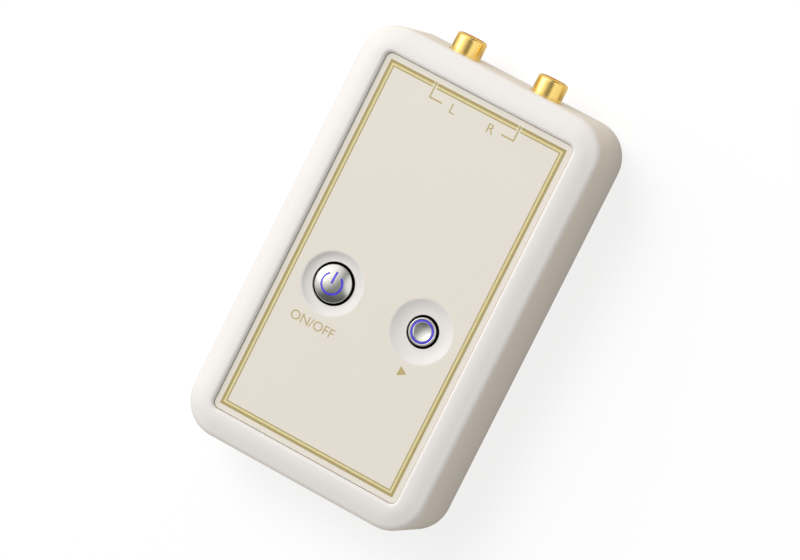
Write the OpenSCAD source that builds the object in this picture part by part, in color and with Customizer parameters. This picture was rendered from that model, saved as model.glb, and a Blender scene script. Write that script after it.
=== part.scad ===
// Hand-held demagnetizer for record-player cartridges: a moulded two-part case with an
// inlaid panel, two lit push buttons in dished wells, two phono jacks through the rear
// wall, and a circuit board and a nine-volt battery inside.
// Millimetres. Origin at the centre of the underside, +Z up, +Y towards the jacks.

/* [Case] */
// Width of the case
case_w = 70; // [63:1:84]
// Length of the case, without the jacks
case_l = 117; // [106:1:132]
// Height of the case
case_h = 26; // [23.5:0.5:32]
// Radius of the upright corners
corner_r = 10; // [9:0.5:11]
// Thickness of the moulded walls
wall = 2.2; // [1.8:0.1:2.6]
// Round along the upper outer edge
crown_r = 2.1; // [1.6:0.1:2.6]
// Round along the lower outer edge
foot_r = 1.5; // [0.8:0.1:1.9]
// Height of the back cover's edge, where the case parts
cover_h = 3.6; // [3.5:0.1:4.4]
// Thickness of the back cover's floor
floor_t = 2; // [1.8:0.1:2.2]
// Open line between the upper case and the back cover
seam = 0.15; // [0.1:0.05:0.3]
// Round along both edges of that line
parting_r = 0.3; // [0.1:0.05:0.5]
// Height of the lip that seats the back cover inside the walls
lip_h = 2; // [1.2:0.2:3]
// Thickness of that lip
lip_t = 1.2; // [0.8:0.1:1.5]

/* [Panel] */
// Width of the raised rim round the panel
rim_w = 7.3; // [6.5:0.1:8]
// Fall of the rim's top towards the outer edge, in degrees
rim_fall = 19; // [12:1:24]
// Round that leads from the rim's ridge into that fall
ridge_r = 8; // [6:0.5:10]
// Width of the level ridge
ridge_w = 0.4; // [0.3:0.05:0.6]
// Round on the mouth of the panel's recess
mouth_edge = 1; // [0.5:0.1:1]
// Depth of the panel's face below the rim
panel_drop = 1.1; // [1:0.1:1.6]
// Radius of the panel's corners
panel_r = 1.8; // [1:0.1:2.6]
// Thickness of the panel
panel_t = 1.4; // [1.2:0.1:1.8]
// Round on the panel's edge
panel_edge = 0.2; // [0.1:0.05:0.4]
// Clearance round the panel
panel_gap = 0.1; // [0.05:0.05:0.2]
// Thickness of the deck that carries the panel
deck_t = 1.5; // [1.2:0.1:2]
// Clearance round pieces that are laid into the case
inlay_gap = 0.2; // [0.1:0.05:0.3]

/* [Buttons] */
// Distance between the two buttons
button_pitch = 26.8; // [24:0.2:30]
// Distance of the buttons in front of the case's middle
button_set = 8.6; // [4:0.2:11]
// Diameter of the dished wells at the panel's face
well_d = 17.4; // [16:0.2:19]
// Depth of the wells at their holes
well_depth = 1.2; // [0.9:0.1:1.6]
// Round on the mouth of a well
well_lip = 0.9; // [0.4:0.1:1.2]
// Thickness of the panel's moulding under a well
well_floor = 0.8; // [0.5:0.1:1]
// Thickness of the panel's moulding beside a well
well_side = 1.4; // [1:0.1:1.8]
// Diameter of the power button's cap
power_d = 10.1; // [9.6:0.1:11]
// Height of the power cap's top above the panel's face
power_stand = 0.9; // [0.4:0.1:1.3]
// Height of the power cap's dome
dome_h = 1.5; // [1:0.1:1.8]
// Round on the edge of the power cap
dome_edge = 0.4; // [0.2:0.1:0.6]
// Mean radius of the power symbol's ring
symbol_r = 2.8; // [2.4:0.1:3.2]
// Width of the power symbol's lines
symbol_line = 0.7; // [0.5:0.05:0.9]
// Opening of the power symbol's ring, in degrees
symbol_gap = 76; // [60:2:90]
// Diameter of the start button's cap
start_d = 7.4; // [7:0.1:8.4]
// Depth of the start cap's top below the panel's face
start_sink = 0.5; // [0.1:0.1:0.9]
// Width of the start cap's metal rim
start_rim = 0.4; // [0.3:0.05:0.6]
// Width of the start cap's lit ring
start_ring = 0.8; // [0.6:0.05:1]
// Depth of the hollow in the start cap's centre
start_hollow = 0.5; // [0.3:0.05:0.7]
// Thickness of the caps' walls
cap_wall = 1; // [0.8:0.1:1.2]
// Thickness of the power cap at the edge of its dome
power_web = 0.3; // [0.2:0.05:0.5]
// Thickness of the start cap's centre under its hollow
start_web = 0.8; // [0.6:0.1:1]
// Open ring round a cap
cap_gap = 0.7; // [0.4:0.05:0.9]
// Travel of a button
button_travel = 0.6; // [0.3:0.1:0.8]

/* [Switches] */
// Width of a switch body
switch_w = 10; // [9:0.5:12]
// Height of a switch body
switch_h = 7; // [6:0.5:8]
// Diameter of a switch's hollow plunger
plunger_d = 6; // [5.8:0.1:6.2]
// Diameter of a light guide's stem
guide_d = 4; // [3.8:0.1:4.4]
// Diameter of a lamp
led_d = 3; // [2.8:0.1:3.2]
// Height of a lamp above the board
led_h = 5.3; // [4:0.1:6]
// Clearance of the pieces that slide
slide_gap = 0.15; // [0.1:0.05:0.25]

/* [Jacks] */
// Distance between the two jacks
jack_pitch = 24.2; // [20:0.2:28]
// Height of the jacks' axes above the underside
jack_z = 14.4; // [13.4:0.2:15.6]
// Height of a jack's axis above the board
jack_seat = 7.2; // [6.8:0.1:7.6]
// Outer diameter of a jack's shell
jack_d = 8.3; // [8.2:0.05:8.4]
// Reach of a jack past the rear wall
jack_reach = 5; // [4:0.2:9]
// Round on the end of a jack's shell
jack_edge = 0.9; // [0.3:0.1:0.9]
// Thickness of a jack's shell
jack_shell_t = 1.05; // [0.95:0.05:1.2]
// Bore of a jack's centre contact
contact_d = 3.3; // [3.2:0.05:3.4]
// Thickness of a centre contact's wall
contact_t = 0.4; // [0.3:0.05:0.5]
// Depth of a jack's insulator inside the shell's end
insulator_sink = 0.9; // [0.5:0.1:1.5]
// Width of a jack's housing
jack_w = 10.4; // [10:0.2:11.6]
// Depth of a jack's housing behind the wall
jack_depth = 10; // [9:0.5:12]
// Thickness of a jack's housing behind its shell
jack_back_t = 2; // [1.5:0.1:3]
// Step of a jack's collar over its shell, and of the shell over its tail
shell_step = 0.4; // [0.3:0.05:0.4]

/* [Battery] */
// Length of the battery's body, without its terminals
battery_l = 45.5; // [44:0.5:46.5]
// Width of the battery
battery_w = 26.5; // [24:0.5:28]
// Height of the battery
battery_h = 17.5; // [16.5:0.25:17.5]
// Round on the battery's long edges
battery_edge = 2; // [1:0.1:3]
// Length of the battery's terminals
terminal_l = 3; // [2.6:0.1:3.2]
// Diameter of the battery's terminals
terminal_d = 5.8; // [5.4:0.1:6]
// Thickness of the battery's snap connector
snap_t = 4.5; // [4.2:0.1:5]
// Margin of the snap connector inside the battery's outline, across its width
snap_in_w = 1; // [0.5:0.1:2]
// Margin of the snap connector inside the battery's outline, across its height
snap_in_h = 2.5; // [1:0.1:3]
// Diameter of a battery lead
lead_d = 1.3; // [1:0.1:1.6]

/* [Battery door] */
// Width of the door between its rails
door_w = 47; // [44:0.5:47]
// Length of the door
door_l = 30; // [28:0.5:31]
// Width of the tongues along the door's sides
tongue_w = 1.2; // [0.8:0.1:1.3]
// Height of the ledges under the tongues
ledge_t = 0.8; // [0.7:0.05:0.9]
// Thickness of the tongues
tongue_t = 0.8; // [0.7:0.05:0.9]
// Thickness of the rails over the tongues
rail_t = 0.7; // [0.6:0.05:0.9]
// Thickness of the ribs on the door that bear the battery
door_rib_t = 1.6; // [1.2:0.1:2.4]
// Number of grip grooves in the door
grip_count = 6; // [3:1:8]
// Distance between the grip grooves
grip_pitch = 1.6; // [1.4:0.1:2]
// Length of the grip grooves
grip_l = 16; // [10:1:24]
// Radius of the grip grooves
grip_r = 0.45; // [0.3:0.05:0.5]

/* [Board and screws] */
// Thickness of the circuit board
board_t = 1.6; // [1.2:0.1:1.6]
// Clearance round the circuit board
board_gap = 0.5; // [0.3:0.1:0.8]
// Distance between the two front screws of the board
board_front_pitch = 10; // [8:0.5:12]
// Distance of the board screws from the board's edges
board_boss_in = 3.5; // [3:0.1:4]
// Distance of the case screws from the outer faces
screw_in = 6.2; // [6:0.1:6.4]
// Diameter of the case screws
screw_d = 2.6; // [2.2:0.1:3]
// Diameter of the case screws' heads
screw_head_d = 5; // [4.6:0.1:5.2]
// Height of the case screws' heads
screw_head_h = 1.7; // [1.4:0.1:1.9]
// Length of the case screws under the head
screw_l = 10; // [8:1:14]
// Diameter of the bosses that take the case screws
boss_d = 6; // [5.6:0.1:6.2]
// Diameter of the board screws
board_screw_d = 2; // [1.8:0.1:2.2]
// Diameter of the board screws' heads
board_head_d = 3.8; // [3.4:0.1:4.2]
// Height of the board screws' heads
board_head_h = 1.4; // [1.2:0.1:1.6]
// Length of the board screws under the head
board_screw_l = 8; // [6:1:10]
// Diameter of the bosses that carry the board
board_boss_d = 5.2; // [4.8:0.1:6]
// Clearance round the screws
screw_gap = 0.1; // [0.05:0.05:0.2]
// Radius of the beads that catch the back cover's lip in the walls
bead_r = 0.5; // [0.4:0.05:0.6]
// Length of those beads
bead_l = 12; // [6:1:16]

/* [Pieces on the board] */
// Width of the controller chip
controller_w = 7.5; // [6:0.1:8]
// Length of the controller chip
controller_l = 10.4; // [9:0.1:12]
// Height of the controller chip's body
controller_h = 2.2; // [1.6:0.1:2.6]
// Width of the amplifier chip
amplifier_w = 4; // [3.5:0.1:5]
// Length of the amplifier chip
amplifier_l = 5; // [4.8:0.1:6]
// Height of the amplifier chip's body
amplifier_h = 1.5; // [1.2:0.1:2]
// Distance between a chip's legs
leg_pitch = 1.27; // [1:0.01:1.27]
// Width of a chip's legs
leg_w = 0.5; // [0.3:0.05:0.6]
// Reach of a chip's legs past its body
leg_reach = 0.6; // [0.4:0.1:1]
// Height of a chip's body above the board
chip_stand = 0.6; // [0.3:0.1:0.8]
// Distance between the two chips
chip_gap = 6; // [4:0.5:8]
// Diameter of a resistor's body
resistor_d = 2.2; // [1.8:0.1:2.4]
// Length of a resistor's body
resistor_l = 5.6; // [5:0.1:6]
// Diameter of a resistor's wires
resistor_wire_d = 0.6; // [0.5:0.05:0.7]
// Length of a resistor's wire on each side
resistor_wire_l = 2; // [1.5:0.1:2.4]
// Distance between the resistors
resistor_pitch = 3.6; // [3:0.1:4]
// Diameter of a capacitor
capacitor_d = 6.3; // [5:0.1:6.5]
// Height of a capacitor
capacitor_h = 8; // [6:0.5:10]
// Distance between the capacitors
capacitor_pitch = 8; // [7:0.1:8.5]
// Height of the crimped groove round a capacitor
crimp_z = 1.6; // [1.2:0.1:2]
// Depth of that groove
crimp_depth = 0.4; // [0.2:0.1:0.5]
// Width of the lead header
header_w = 5; // [4.5:0.1:6]
// Length of the lead header
header_l = 6; // [5:0.1:7]
// Height of the lead header
header_h = 5; // [4:0.1:6]
// Distance of the lead header behind the board's front edge
header_set = 4; // [3:0.2:5]

/* [Hidden] */
$fn = 96;
over = 1;

// Inside of the case
inner_y = case_l / 2 - wall;
roof_z = case_h - wall;
step_t = wall;
panel_z = case_h - panel_drop;
deck_top = panel_z - panel_t;
deck_bottom = deck_top - deck_t;
deck_in = rim_w - step_t;

// Rim: from the ridge, an arc leads into a level fall, and the crown rounds it into the wall
ridge_x = rim_w - mouth_edge - ridge_w;
ridge_z = case_h - ridge_r;
crown_z = ridge_z + (ridge_r - crown_r + sin(rim_fall) * (crown_r - ridge_x)) / cos(rim_fall);

// Wells
mouth_r = well_d / 2;
well_outer_r = mouth_r + well_side;
well_bottom = panel_z - well_depth - well_floor;
button_x = button_pitch / 2;

// Buttons, from the top down
power_top = panel_z + power_stand;
power_shoulder = power_top - dome_h;
dome_r = ((power_d / 2) ^ 2 + dome_h * dome_h) / (2 * dome_h);
start_top = panel_z - start_sink;
guide_disc_t = 1.2;
plunger_flange_t = 1.4;
power_guide_z = power_shoulder - power_web;
start_guide_z = start_top - start_hollow - start_web;
guide_gap = 0.1;
lamp_gap = 0.4;
guide_bottom_clear = button_travel + lamp_gap;

// Board and what stands on it
board_z = jack_z - jack_seat;
plunger_foot = 2;
battery_gap = 0.3;
bulkhead_t = 1.6;
door_top = ledge_t + slide_gap + tongue_t;
rail_low = ledge_t;
rail_high = door_top + slide_gap;
rail_top = rail_high + rail_t;
battery_z = rail_top + battery_gap;
lip_in = wall + seam;
snap_over = 0.5;
battery_stack = battery_l + snap_over + snap_t;
battery_x = -battery_stack / 2;
battery_end = battery_x + battery_l;
snap_x = battery_end + snap_over;
snap_w = battery_w - 2 * snap_in_w;
// The battery's corners keep clear of the round inside the lip's corners
clear_r = corner_r - lip_in - lip_t - battery_gap;
corner_over = max(0, battery_stack / 2 + corner_r - case_w / 2);
battery_front = corner_r - case_l / 2 - sqrt(clear_r ^ 2 - corner_over ^ 2);
battery_rear = battery_front + battery_w;
battery_mid = (battery_front + battery_rear) / 2;
// The bulkhead stands behind the battery and the door, whichever reaches further
door_front = -case_l / 2;
door_back = door_front + door_l;
bulkhead_y = max(battery_rear + battery_gap, door_back + inlay_gap);
board_front = bulkhead_y + bulkhead_t + board_gap;
board_rear = inner_y - board_gap;
board_w = case_w - 2 * (screw_in + boss_d / 2 + board_gap);
header_x = board_w / 2 - header_w / 2 - board_gap;
header_front = board_front + header_set;

// Places of the screws
case_screw_x = case_w / 2 - screw_in;
case_screw_front = bulkhead_y + bulkhead_t + board_gap + boss_d / 2;
case_screw_rear = case_l / 2 - screw_in;
case_screw_places = [for (x = [-1, 1], y = [case_screw_front, case_screw_rear]) [x * case_screw_x, y]];
board_screw_x = board_w / 2 - board_boss_in;
board_screw_front = board_front + board_boss_in;
board_screw_rear = inner_y - jack_depth - board_boss_d;
board_screw_places = [for (x = [-1, 1], p = [[board_front_pitch / 2, board_screw_front],
    [board_screw_x, board_screw_rear]]) [x * p.x, p.y]];
head_gap = 0.2;
head_sink = screw_head_h + screw_gap;

// Door and its rails
tongue_half = door_w / 2 + tongue_w;
door_edge_in = wall;

// Jacks
shell_r = jack_d / 2;
shell_in_r = shell_r - jack_shell_t;
collar_r = shell_r + shell_step;
tail_r = shell_r - shell_step;
jack_hole_r = collar_r + inlay_gap;
wall_rear = case_l / 2;
jack_end = wall_rear + jack_reach;
insulator_end = jack_end - insulator_sink;
jack_front = inner_y - inlay_gap;
jack_back = jack_front - jack_depth;
contact_r = contact_d / 2;
contact_back = jack_back + jack_back_t;

// Middle of the room between the switches and the jacks, where the chips and the small pieces stand
room_y = (switch_w / 2 - button_set + jack_back) / 2;
side_x = board_w / 4 + board_boss_in / 2;

// Route of the battery leads: straight stubs at both ends, and a curve between them
lead_stub = 0.8;
lead_pull = 2.5;
lead_sides = 8;
lead_steps = 14;
lead_pitch = 2;

// Flat rounded rectangle
module rounded_rect(w, l, r) {
    square([w - 2 * r, l], center = true);
    square([w, l - 2 * r], center = true);
    for (x = [-1, 1], y = [-1, 1])
        translate([x * (w / 2 - r), y * (l / 2 - r)]) circle(r);
}

// Upright plate with rounded corners
module plate(w, l, r, z, t) {
    translate([0, 0, z]) linear_extrude(t) rounded_rect(w, l, r);
}

// One straight stretch of a swept profile, along Y
module straight(length) {
    rotate([90, 0, 0]) linear_extrude(length, center = true) mirror([1, 0]) children();
}

// Sweeps a profile round a rounded rectangle: its x is the way in from the edge, its y the height
module swept(w, l, r) {
    for (turn = [0, 180]) rotate(turn) {
        translate([w / 2, 0, 0]) straight(l - 2 * r) children();
        rotate(90) translate([l / 2, 0, 0]) straight(w - 2 * r) children();
        translate([w / 2 - r, l / 2 - r, 0])
            rotate_extrude(angle = 90) translate([r, 0]) mirror([1, 0]) children();
        translate([r - w / 2, l / 2 - r, 0])
            rotate(90) rotate_extrude(angle = 90) translate([r, 0]) mirror([1, 0]) children();
    }
}

// Round to take off a profile's corner: the corner is at the origin, the material towards -x, -y
module corner_round(r) {
    difference() {
        translate([-r, -r]) square(r + over);
        translate([-r, -r]) circle(r);
    }
}

// Cross-section of the upper case's wall and roof
module rim_profile() {
    difference() {
        union() {
            translate([0, cover_h]) square([wall, case_h - cover_h]);
            translate([0, roof_z]) square([rim_w, wall]);
        }
        difference() {
            translate([-over, crown_z]) square([ridge_x + over, case_h - crown_z + over]);
            translate([ridge_x, ridge_z]) circle(ridge_r);
            translate([ridge_x, ridge_z]) rotate(rim_fall) translate([-2 * rim_w, 0])
                square([2 * rim_w, ridge_r]);
        }
        difference() {
            translate([-over, crown_z])
                square([crown_r * (1 - sin(rim_fall)) + over, case_h - crown_z + over]);
            translate([crown_r, crown_z]) circle(crown_r);
        }
        translate([0, cover_h]) rotate(180) corner_round(parting_r);
    }
}

// Cross-section of what the round on the recess's mouth takes off the rim
module mouth_profile() {
    difference() {
        translate([0, case_h - mouth_edge]) square([mouth_edge + panel_r / 2, mouth_edge + over]);
        translate([0, case_h - mouth_edge]) circle(mouth_edge);
    }
}

// Recess that takes the panel, with the round on its mouth
module panel_recess() {
    w = case_w - 2 * rim_w;
    l = case_l - 2 * rim_w;
    plate(w, l, panel_r, deck_top, case_h - deck_top + over);
    swept(w + 2 * mouth_edge, l + 2 * mouth_edge, panel_r + mouth_edge) mouth_profile();
}

// Deep moulded shell: walls, rounded rim, deck for the panel, and the bosses under them
module upper_case() {
    color("#f2efeb") difference() {
        union() {
            swept(case_w, case_l, corner_r) rim_profile();
            plate(case_w - 2 * deck_in, case_l - 2 * deck_in, panel_r + step_t, deck_bottom,
                roof_z + wall / 2 - deck_bottom);
            for (p = case_screw_places) translate([p.x, p.y, cover_h])
                cylinder(d = boss_d, h = deck_bottom + deck_t / 2 - cover_h);
            for (p = board_screw_places) translate([p.x, p.y, board_z])
                cylinder(d = board_boss_d, h = deck_bottom - board_z);
        }
        panel_recess();
        battery_room();
        for (side = [-1, 1]) jack_room(side);
        snap_beads(seam);
        for (x = [-1, 1]) translate([x * button_x, -button_set, deck_bottom - over])
            cylinder(r = well_outer_r + inlay_gap, h = deck_t + 2 * over);
        for (x = [-1, 1]) translate([x * jack_pitch / 2, wall_rear + over, jack_z])
            rotate([90, 0, 0]) cylinder(r = jack_hole_r, h = wall + 2 * over);
        for (p = case_screw_places) translate([p.x, p.y, cover_h - over])
            cylinder(d = screw_d + 2 * screw_gap, h = screw_l + over);
        for (p = board_screw_places) translate([p.x, p.y, board_z - over])
            cylinder(d = board_screw_d + 2 * screw_gap, h = board_screw_l + over);
    }
    color("#f2efeb") for (x = [-1, 1]) battery_rib(x * battery_l / 4);
}

// Room that the upper case leaves for the battery
module battery_room() {
    translate([battery_x - battery_gap, battery_front - battery_gap, battery_z])
        cube([battery_l + 2 * battery_gap, battery_w + 2 * battery_gap, battery_h + battery_gap]);
}

// Room that the upper case leaves for a jack's housing
module jack_room(side) {
    translate([side * jack_pitch / 2 - jack_w / 2 - inlay_gap, jack_back - inlay_gap, board_z])
        cube([jack_w + 2 * inlay_gap, jack_depth + inlay_gap, jack_seat + jack_w / 2 + inlay_gap]);
}

// Beads along the back cover's lip, beside the battery, that catch in grooves in the walls
module snap_beads(gap) {
    for (x = [-1, 1]) translate([x * (case_w / 2 - lip_in), battery_mid, cover_h + lip_h / 2])
        rotate([90, 0, 0]) cylinder(r = bead_r + gap, h = bead_l + 2 * gap, center = true);
}

// Rib under the deck that keeps the battery down
module battery_rib(x) {
    rib_z = battery_z + battery_h + battery_gap;
    rib_y = deck_in - case_l / 2;
    translate([battery_x + battery_l / 2 + x - wall / 2, rib_y, rib_z])
        cube([wall, battery_rear - rib_y, deck_top - rib_z]);
}

// Cross-section of the back cover's edge and lip
module cover_profile() {
    difference() {
        union() {
            square([lip_in + lip_t, cover_h - seam]);
            translate([lip_in, 0]) square([lip_t, cover_h + lip_h]);
        }
        rotate(180) corner_round(foot_r);
        translate([0, cover_h - seam]) mirror([1, 0]) corner_round(parting_r);
    }
}

// Shallow tray that closes the case from below
module back_cover() {
    edge_in = lip_in + lip_t / 2;
    color("#eeebe6") difference() {
        union() {
            swept(case_w, case_l, corner_r) cover_profile();
            plate(case_w - 2 * edge_in, case_l - 2 * edge_in, corner_r - edge_in, 0, floor_t);
            for (p = case_screw_places) translate([p.x, p.y, floor_t - over])
                cylinder(d = boss_d, h = cover_h - floor_t + over);
            for (side = [0, 1]) mirror([side, 0, 0]) translate([door_w / 2, door_front + lip_in, 0])
                cube([tongue_w + inlay_gap + lip_t, door_l, rail_top]);
            snap_beads(0);
            translate([battery_x, bulkhead_y, 0])
                cube([battery_l, bulkhead_t, battery_z + battery_h - battery_gap]);
            translate([battery_x - battery_gap - bulkhead_t, battery_mid - battery_w / 4, 0])
                cube([bulkhead_t, battery_w / 2, battery_z + battery_h / 2]);
        }
        door_opening();
        for (p = case_screw_places) translate([p.x, p.y, 0]) {
            translate([0, 0, cover_h]) cylinder(d = boss_d + 2 * inlay_gap, h = lip_h + over);
            translate([0, 0, -over]) cylinder(d = screw_d + 2 * screw_gap, h = cover_h + 2 * over);
            translate([0, 0, -over]) cylinder(d = screw_head_d + 2 * head_gap, h = head_sink + over);
        }
    }
}

// Space that the door slides in: the opening, the grooves for its tongues, and the open front edge
module door_opening() {
    half = door_w / 2 + inlay_gap;
    wide = tongue_half + inlay_gap;
    front = door_front - over;
    length = door_back + inlay_gap - front;
    translate([-half, front, -over]) cube([2 * half, length, cover_h + 2 * over]);
    translate([-wide, front, rail_low]) cube([2 * wide, length, rail_high - rail_low]);
    translate([-wide, front, -over]) cube([2 * wide, lip_in + lip_t + over, cover_h + lip_h + 2 * over]);
}

// Cross-section of the door's front edge, which completes the edge of the back cover
module door_edge_profile() {
    difference() {
        square([door_edge_in, cover_h - seam]);
        rotate(180) corner_round(foot_r);
        translate([0, cover_h - seam]) mirror([1, 0]) corner_round(parting_r);
    }
}

// Sliding door under the battery, with grip grooves
module battery_door() {
    first_grip = door_front + door_l / 2 - (grip_count - 1) * grip_pitch / 2;
    color("#eeebe6") difference() {
        union() {
            translate([0, door_front, 0]) rotate(-90) straight(2 * tongue_half) door_edge_profile();
            translate([-tongue_half, door_front + foot_r, 0])
                cube([2 * tongue_half, lip_in + lip_t - foot_r - inlay_gap, door_top]);
            translate([-door_w / 2, door_front + foot_r, 0])
                cube([door_w, door_l - foot_r, door_top]);
            translate([-tongue_half, door_front + foot_r, ledge_t + slide_gap])
                cube([2 * tongue_half, door_l - foot_r, tongue_t]);
            for (x = [-1, 1]) translate([x * door_w / 4 - door_rib_t / 2, door_front + door_edge_in, 0])
                cube([door_rib_t, door_l - door_edge_in - door_rib_t, rail_top]);
        }
        for (i = [0 : grip_count - 1]) translate([-grip_l / 2, first_grip + i * grip_pitch, 0])
            grip_groove();
    }
}

// Shallow groove for the thumb, with round ends
module grip_groove() {
    rotate([0, 90, 0]) cylinder(r = grip_r, h = grip_l);
    for (x = [0, grip_l]) translate([x, 0, 0]) sphere(grip_r);
}

// Revolved dish of the panel round one button's hole: level at the hole, steepest by its round mouth
module well(hole_r) {
    reach = mouth_r - hole_r;
    steep = 2 * atan(well_depth / reach);
    dish_r = reach / sin(steep) - well_lip;
    tangent_r = hole_r + dish_r * sin(steep);
    tangent_z = panel_z - well_lip * (1 - cos(steep));
    rotate_extrude() difference() {
        translate([hole_r, well_bottom]) square([well_outer_r - hole_r, panel_z - well_bottom]);
        translate([hole_r, panel_z - well_depth + dish_r]) circle(dish_r);
        difference() {
            translate([tangent_r, tangent_z]) square([mouth_r - tangent_r, panel_z - tangent_z + over]);
            translate([mouth_r, panel_z - well_lip]) circle(well_lip);
        }
    }
}

// Inlaid panel with its two dished wells
module front_panel() {
    w = case_w - 2 * (rim_w + panel_gap);
    l = case_l - 2 * (rim_w + panel_gap);
    r = panel_r - panel_gap;
    edge = 2 * panel_edge;
    color("#e5ded3") union() {
        difference() {
            union() {
                plate(w - 2 * panel_edge, l - 2 * panel_edge, r - panel_edge, deck_top, panel_t);
                swept(w, l, r) difference() {
                    translate([0, deck_top]) square([edge, panel_t]);
                    translate([0, panel_z]) mirror([1, 0]) corner_round(panel_edge);
                }
            }
            for (x = [-1, 1]) translate([x * button_x, -button_set, deck_top - over])
                cylinder(r = well_outer_r, h = panel_t + 2 * over);
        }
        translate([-button_x, -button_set, 0]) well(power_d / 2 + cap_gap);
        translate([button_x, -button_set, 0]) well(start_d / 2 + cap_gap);
    }
}

// Places its children at the power button or the start button
module at_power() {
    translate([-button_x, -button_set, 0]) children();
}

module at_start() {
    translate([button_x, -button_set, 0]) children();
}

// Power symbol as an upright ridge: an open ring and a bar
module power_symbol(z, h) {
    rotate(90 + symbol_gap / 2) rotate_extrude(angle = 360 - symbol_gap)
        translate([symbol_r - symbol_line / 2, z]) square([symbol_line, h]);
    translate([-symbol_line / 2, 0, z]) cube([symbol_line, symbol_r + symbol_line, h]);
}

// Outer form of the power cap, from its skirt to the top of its dome
module dome_profile(bottom) {
    r = power_d / 2;
    centre_z = power_top - dome_r;
    edge_z = centre_z + sqrt((dome_r - dome_edge) ^ 2 - (r - dome_edge) ^ 2);
    tangent_r = (r - dome_edge) * dome_r / (dome_r - dome_edge);
    intersection() {
        translate([0, centre_z]) circle(dome_r);
        translate([0, bottom]) square([tangent_r, power_top - bottom]);
    }
    translate([r - dome_edge, edge_z]) circle(dome_edge);
    translate([0, bottom]) square([r, edge_z - bottom]);
}

// Domed metal cap of the power button, open for the symbol
module power_cap() {
    skirt_z = power_guide_z - guide_disc_t - plunger_flange_t;
    color("#c9cdd3") at_power() difference() {
        rotate_extrude() difference() {
            dome_profile(skirt_z);
            translate([0, skirt_z - over])
                square([power_d / 2 - cap_wall, power_guide_z - skirt_z + over]);
        }
        power_symbol(power_guide_z - over, dome_h + 2 * over);
    }
}

// Clear guide that carries light from the lamp to the power symbol
module power_light_guide() {
    color("#4a3fb5") at_power() {
        intersection() {
            power_symbol(power_guide_z - guide_disc_t / 2, dome_h + guide_disc_t);
            rotate_extrude() dome_profile(power_guide_z - guide_disc_t);
        }
        guide_stem(power_d / 2 - cap_wall, power_guide_z);
    }
}

// Disc and stem of a light guide, with the disc's top at a given height
module guide_stem(disc_r, top) {
    bottom = board_z + led_h + guide_bottom_clear;
    translate([0, 0, top - guide_disc_t]) cylinder(r = disc_r, h = guide_disc_t);
    translate([0, 0, bottom]) cylinder(d = guide_d, h = top - guide_disc_t - bottom + guide_disc_t / 2);
}

// Hollow plunger that slides in a switch and holds a cap by its flange
module plunger(flange_r, top) {
    bottom = board_z + plunger_foot;
    difference() {
        union() {
            translate([0, 0, bottom]) cylinder(d = plunger_d, h = top - bottom);
            translate([0, 0, top - plunger_flange_t]) cylinder(r = flange_r, h = plunger_flange_t);
        }
        translate([0, 0, bottom - over])
            cylinder(d = guide_d + 2 * guide_gap, h = top - bottom + 2 * over);
    }
}

module power_plunger() {
    color("#3a3a3c") at_power() plunger(power_d / 2 - cap_wall, power_guide_z - guide_disc_t);
}

// Metal rim of the start button's cap
module start_cap_rim() {
    skirt_z = start_guide_z - guide_disc_t - plunger_flange_t;
    edge = start_rim / 2;
    color("#c9cdd3") at_start() rotate_extrude() difference() {
        translate([start_d / 2 - start_rim, skirt_z]) square([start_rim, start_top - skirt_z]);
        translate([start_d / 2, start_top]) corner_round(edge);
    }
}

// Hollowed metal centre of the start button's cap
module start_cap_centre() {
    r = start_d / 2 - start_rim - start_ring;
    hollow_r = (r * r + start_hollow * start_hollow) / (2 * start_hollow);
    color("#b9bdc4") at_start() rotate_extrude() difference() {
        translate([0, start_guide_z]) square([r, start_top - start_guide_z]);
        translate([0, start_top - start_hollow + hollow_r]) circle(hollow_r);
    }
}

// Clear guide that carries light from the lamp to the start cap's ring
module start_light_guide() {
    outer = start_d / 2 - start_rim;
    color("#4a3fb5") at_start() {
        rotate_extrude() translate([outer - start_ring, start_guide_z - guide_disc_t / 2])
            square([start_ring, start_top - start_guide_z + guide_disc_t / 2]);
        guide_stem(outer, start_guide_z);
    }
}

module start_plunger() {
    color("#3a3a3c") at_start() plunger(start_d / 2 - start_rim, start_guide_z - guide_disc_t);
}

// Circuit board, drilled for its screws
module circuit_board() {
    color("#2f6b45") translate([0, 0, board_z - board_t]) difference() {
        translate([-board_w / 2, board_front, 0]) cube([board_w, board_rear - board_front, board_t]);
        for (p = board_screw_places) translate([p.x, p.y, -over])
            cylinder(d = board_screw_d + 2 * screw_gap, h = board_t + 2 * over);
    }
}

// Body of a lit push switch, bored for its plunger
module switch_body() {
    translate([0, 0, board_z]) difference() {
        linear_extrude(switch_h) rounded_rect(switch_w, switch_w, 1);
        translate([0, 0, -over]) cylinder(d = plunger_d + 2 * slide_gap, h = switch_h + 2 * over);
    }
}

module power_switch() {
    color("#2b2b2d") at_power() switch_body();
}

module start_switch() {
    color("#2b2b2d") at_start() switch_body();
}

// Domed lamp standing on the board inside a switch
module lamp() {
    base_h = 1;
    base_rim = 0.4;
    translate([0, 0, board_z]) rotate_extrude() {
        square([led_d / 2 + base_rim, base_h]);
        square([led_d / 2, led_h - led_d / 2]);
        translate([0, led_h - led_d / 2]) intersection() {
            circle(d = led_d);
            square(led_d);
        }
    }
}

module power_led() {
    color("#5b63d6") at_power() lamp();
}

module start_led() {
    color("#5b63d6") at_start() lamp();
}

// Places its children on a jack's axis, turned so that +Z runs out through the rear wall
module at_jack(side) {
    translate([side * jack_pitch / 2, 0, jack_z]) rotate([-90, 0, 0]) children();
}

// Moulded housing that holds a jack on the board
module jack_housing(side) {
    color("#262626") difference() {
        translate([side * jack_pitch / 2 - jack_w / 2, jack_back, board_z])
            cube([jack_w, jack_depth, jack_seat + jack_w / 2]);
        at_jack(side) translate([0, 0, contact_back]) cylinder(r = tail_r, h = jack_depth);
    }
}

module left_jack_housing() {
    jack_housing(-1);
}

module right_jack_housing() {
    jack_housing(1);
}

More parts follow.
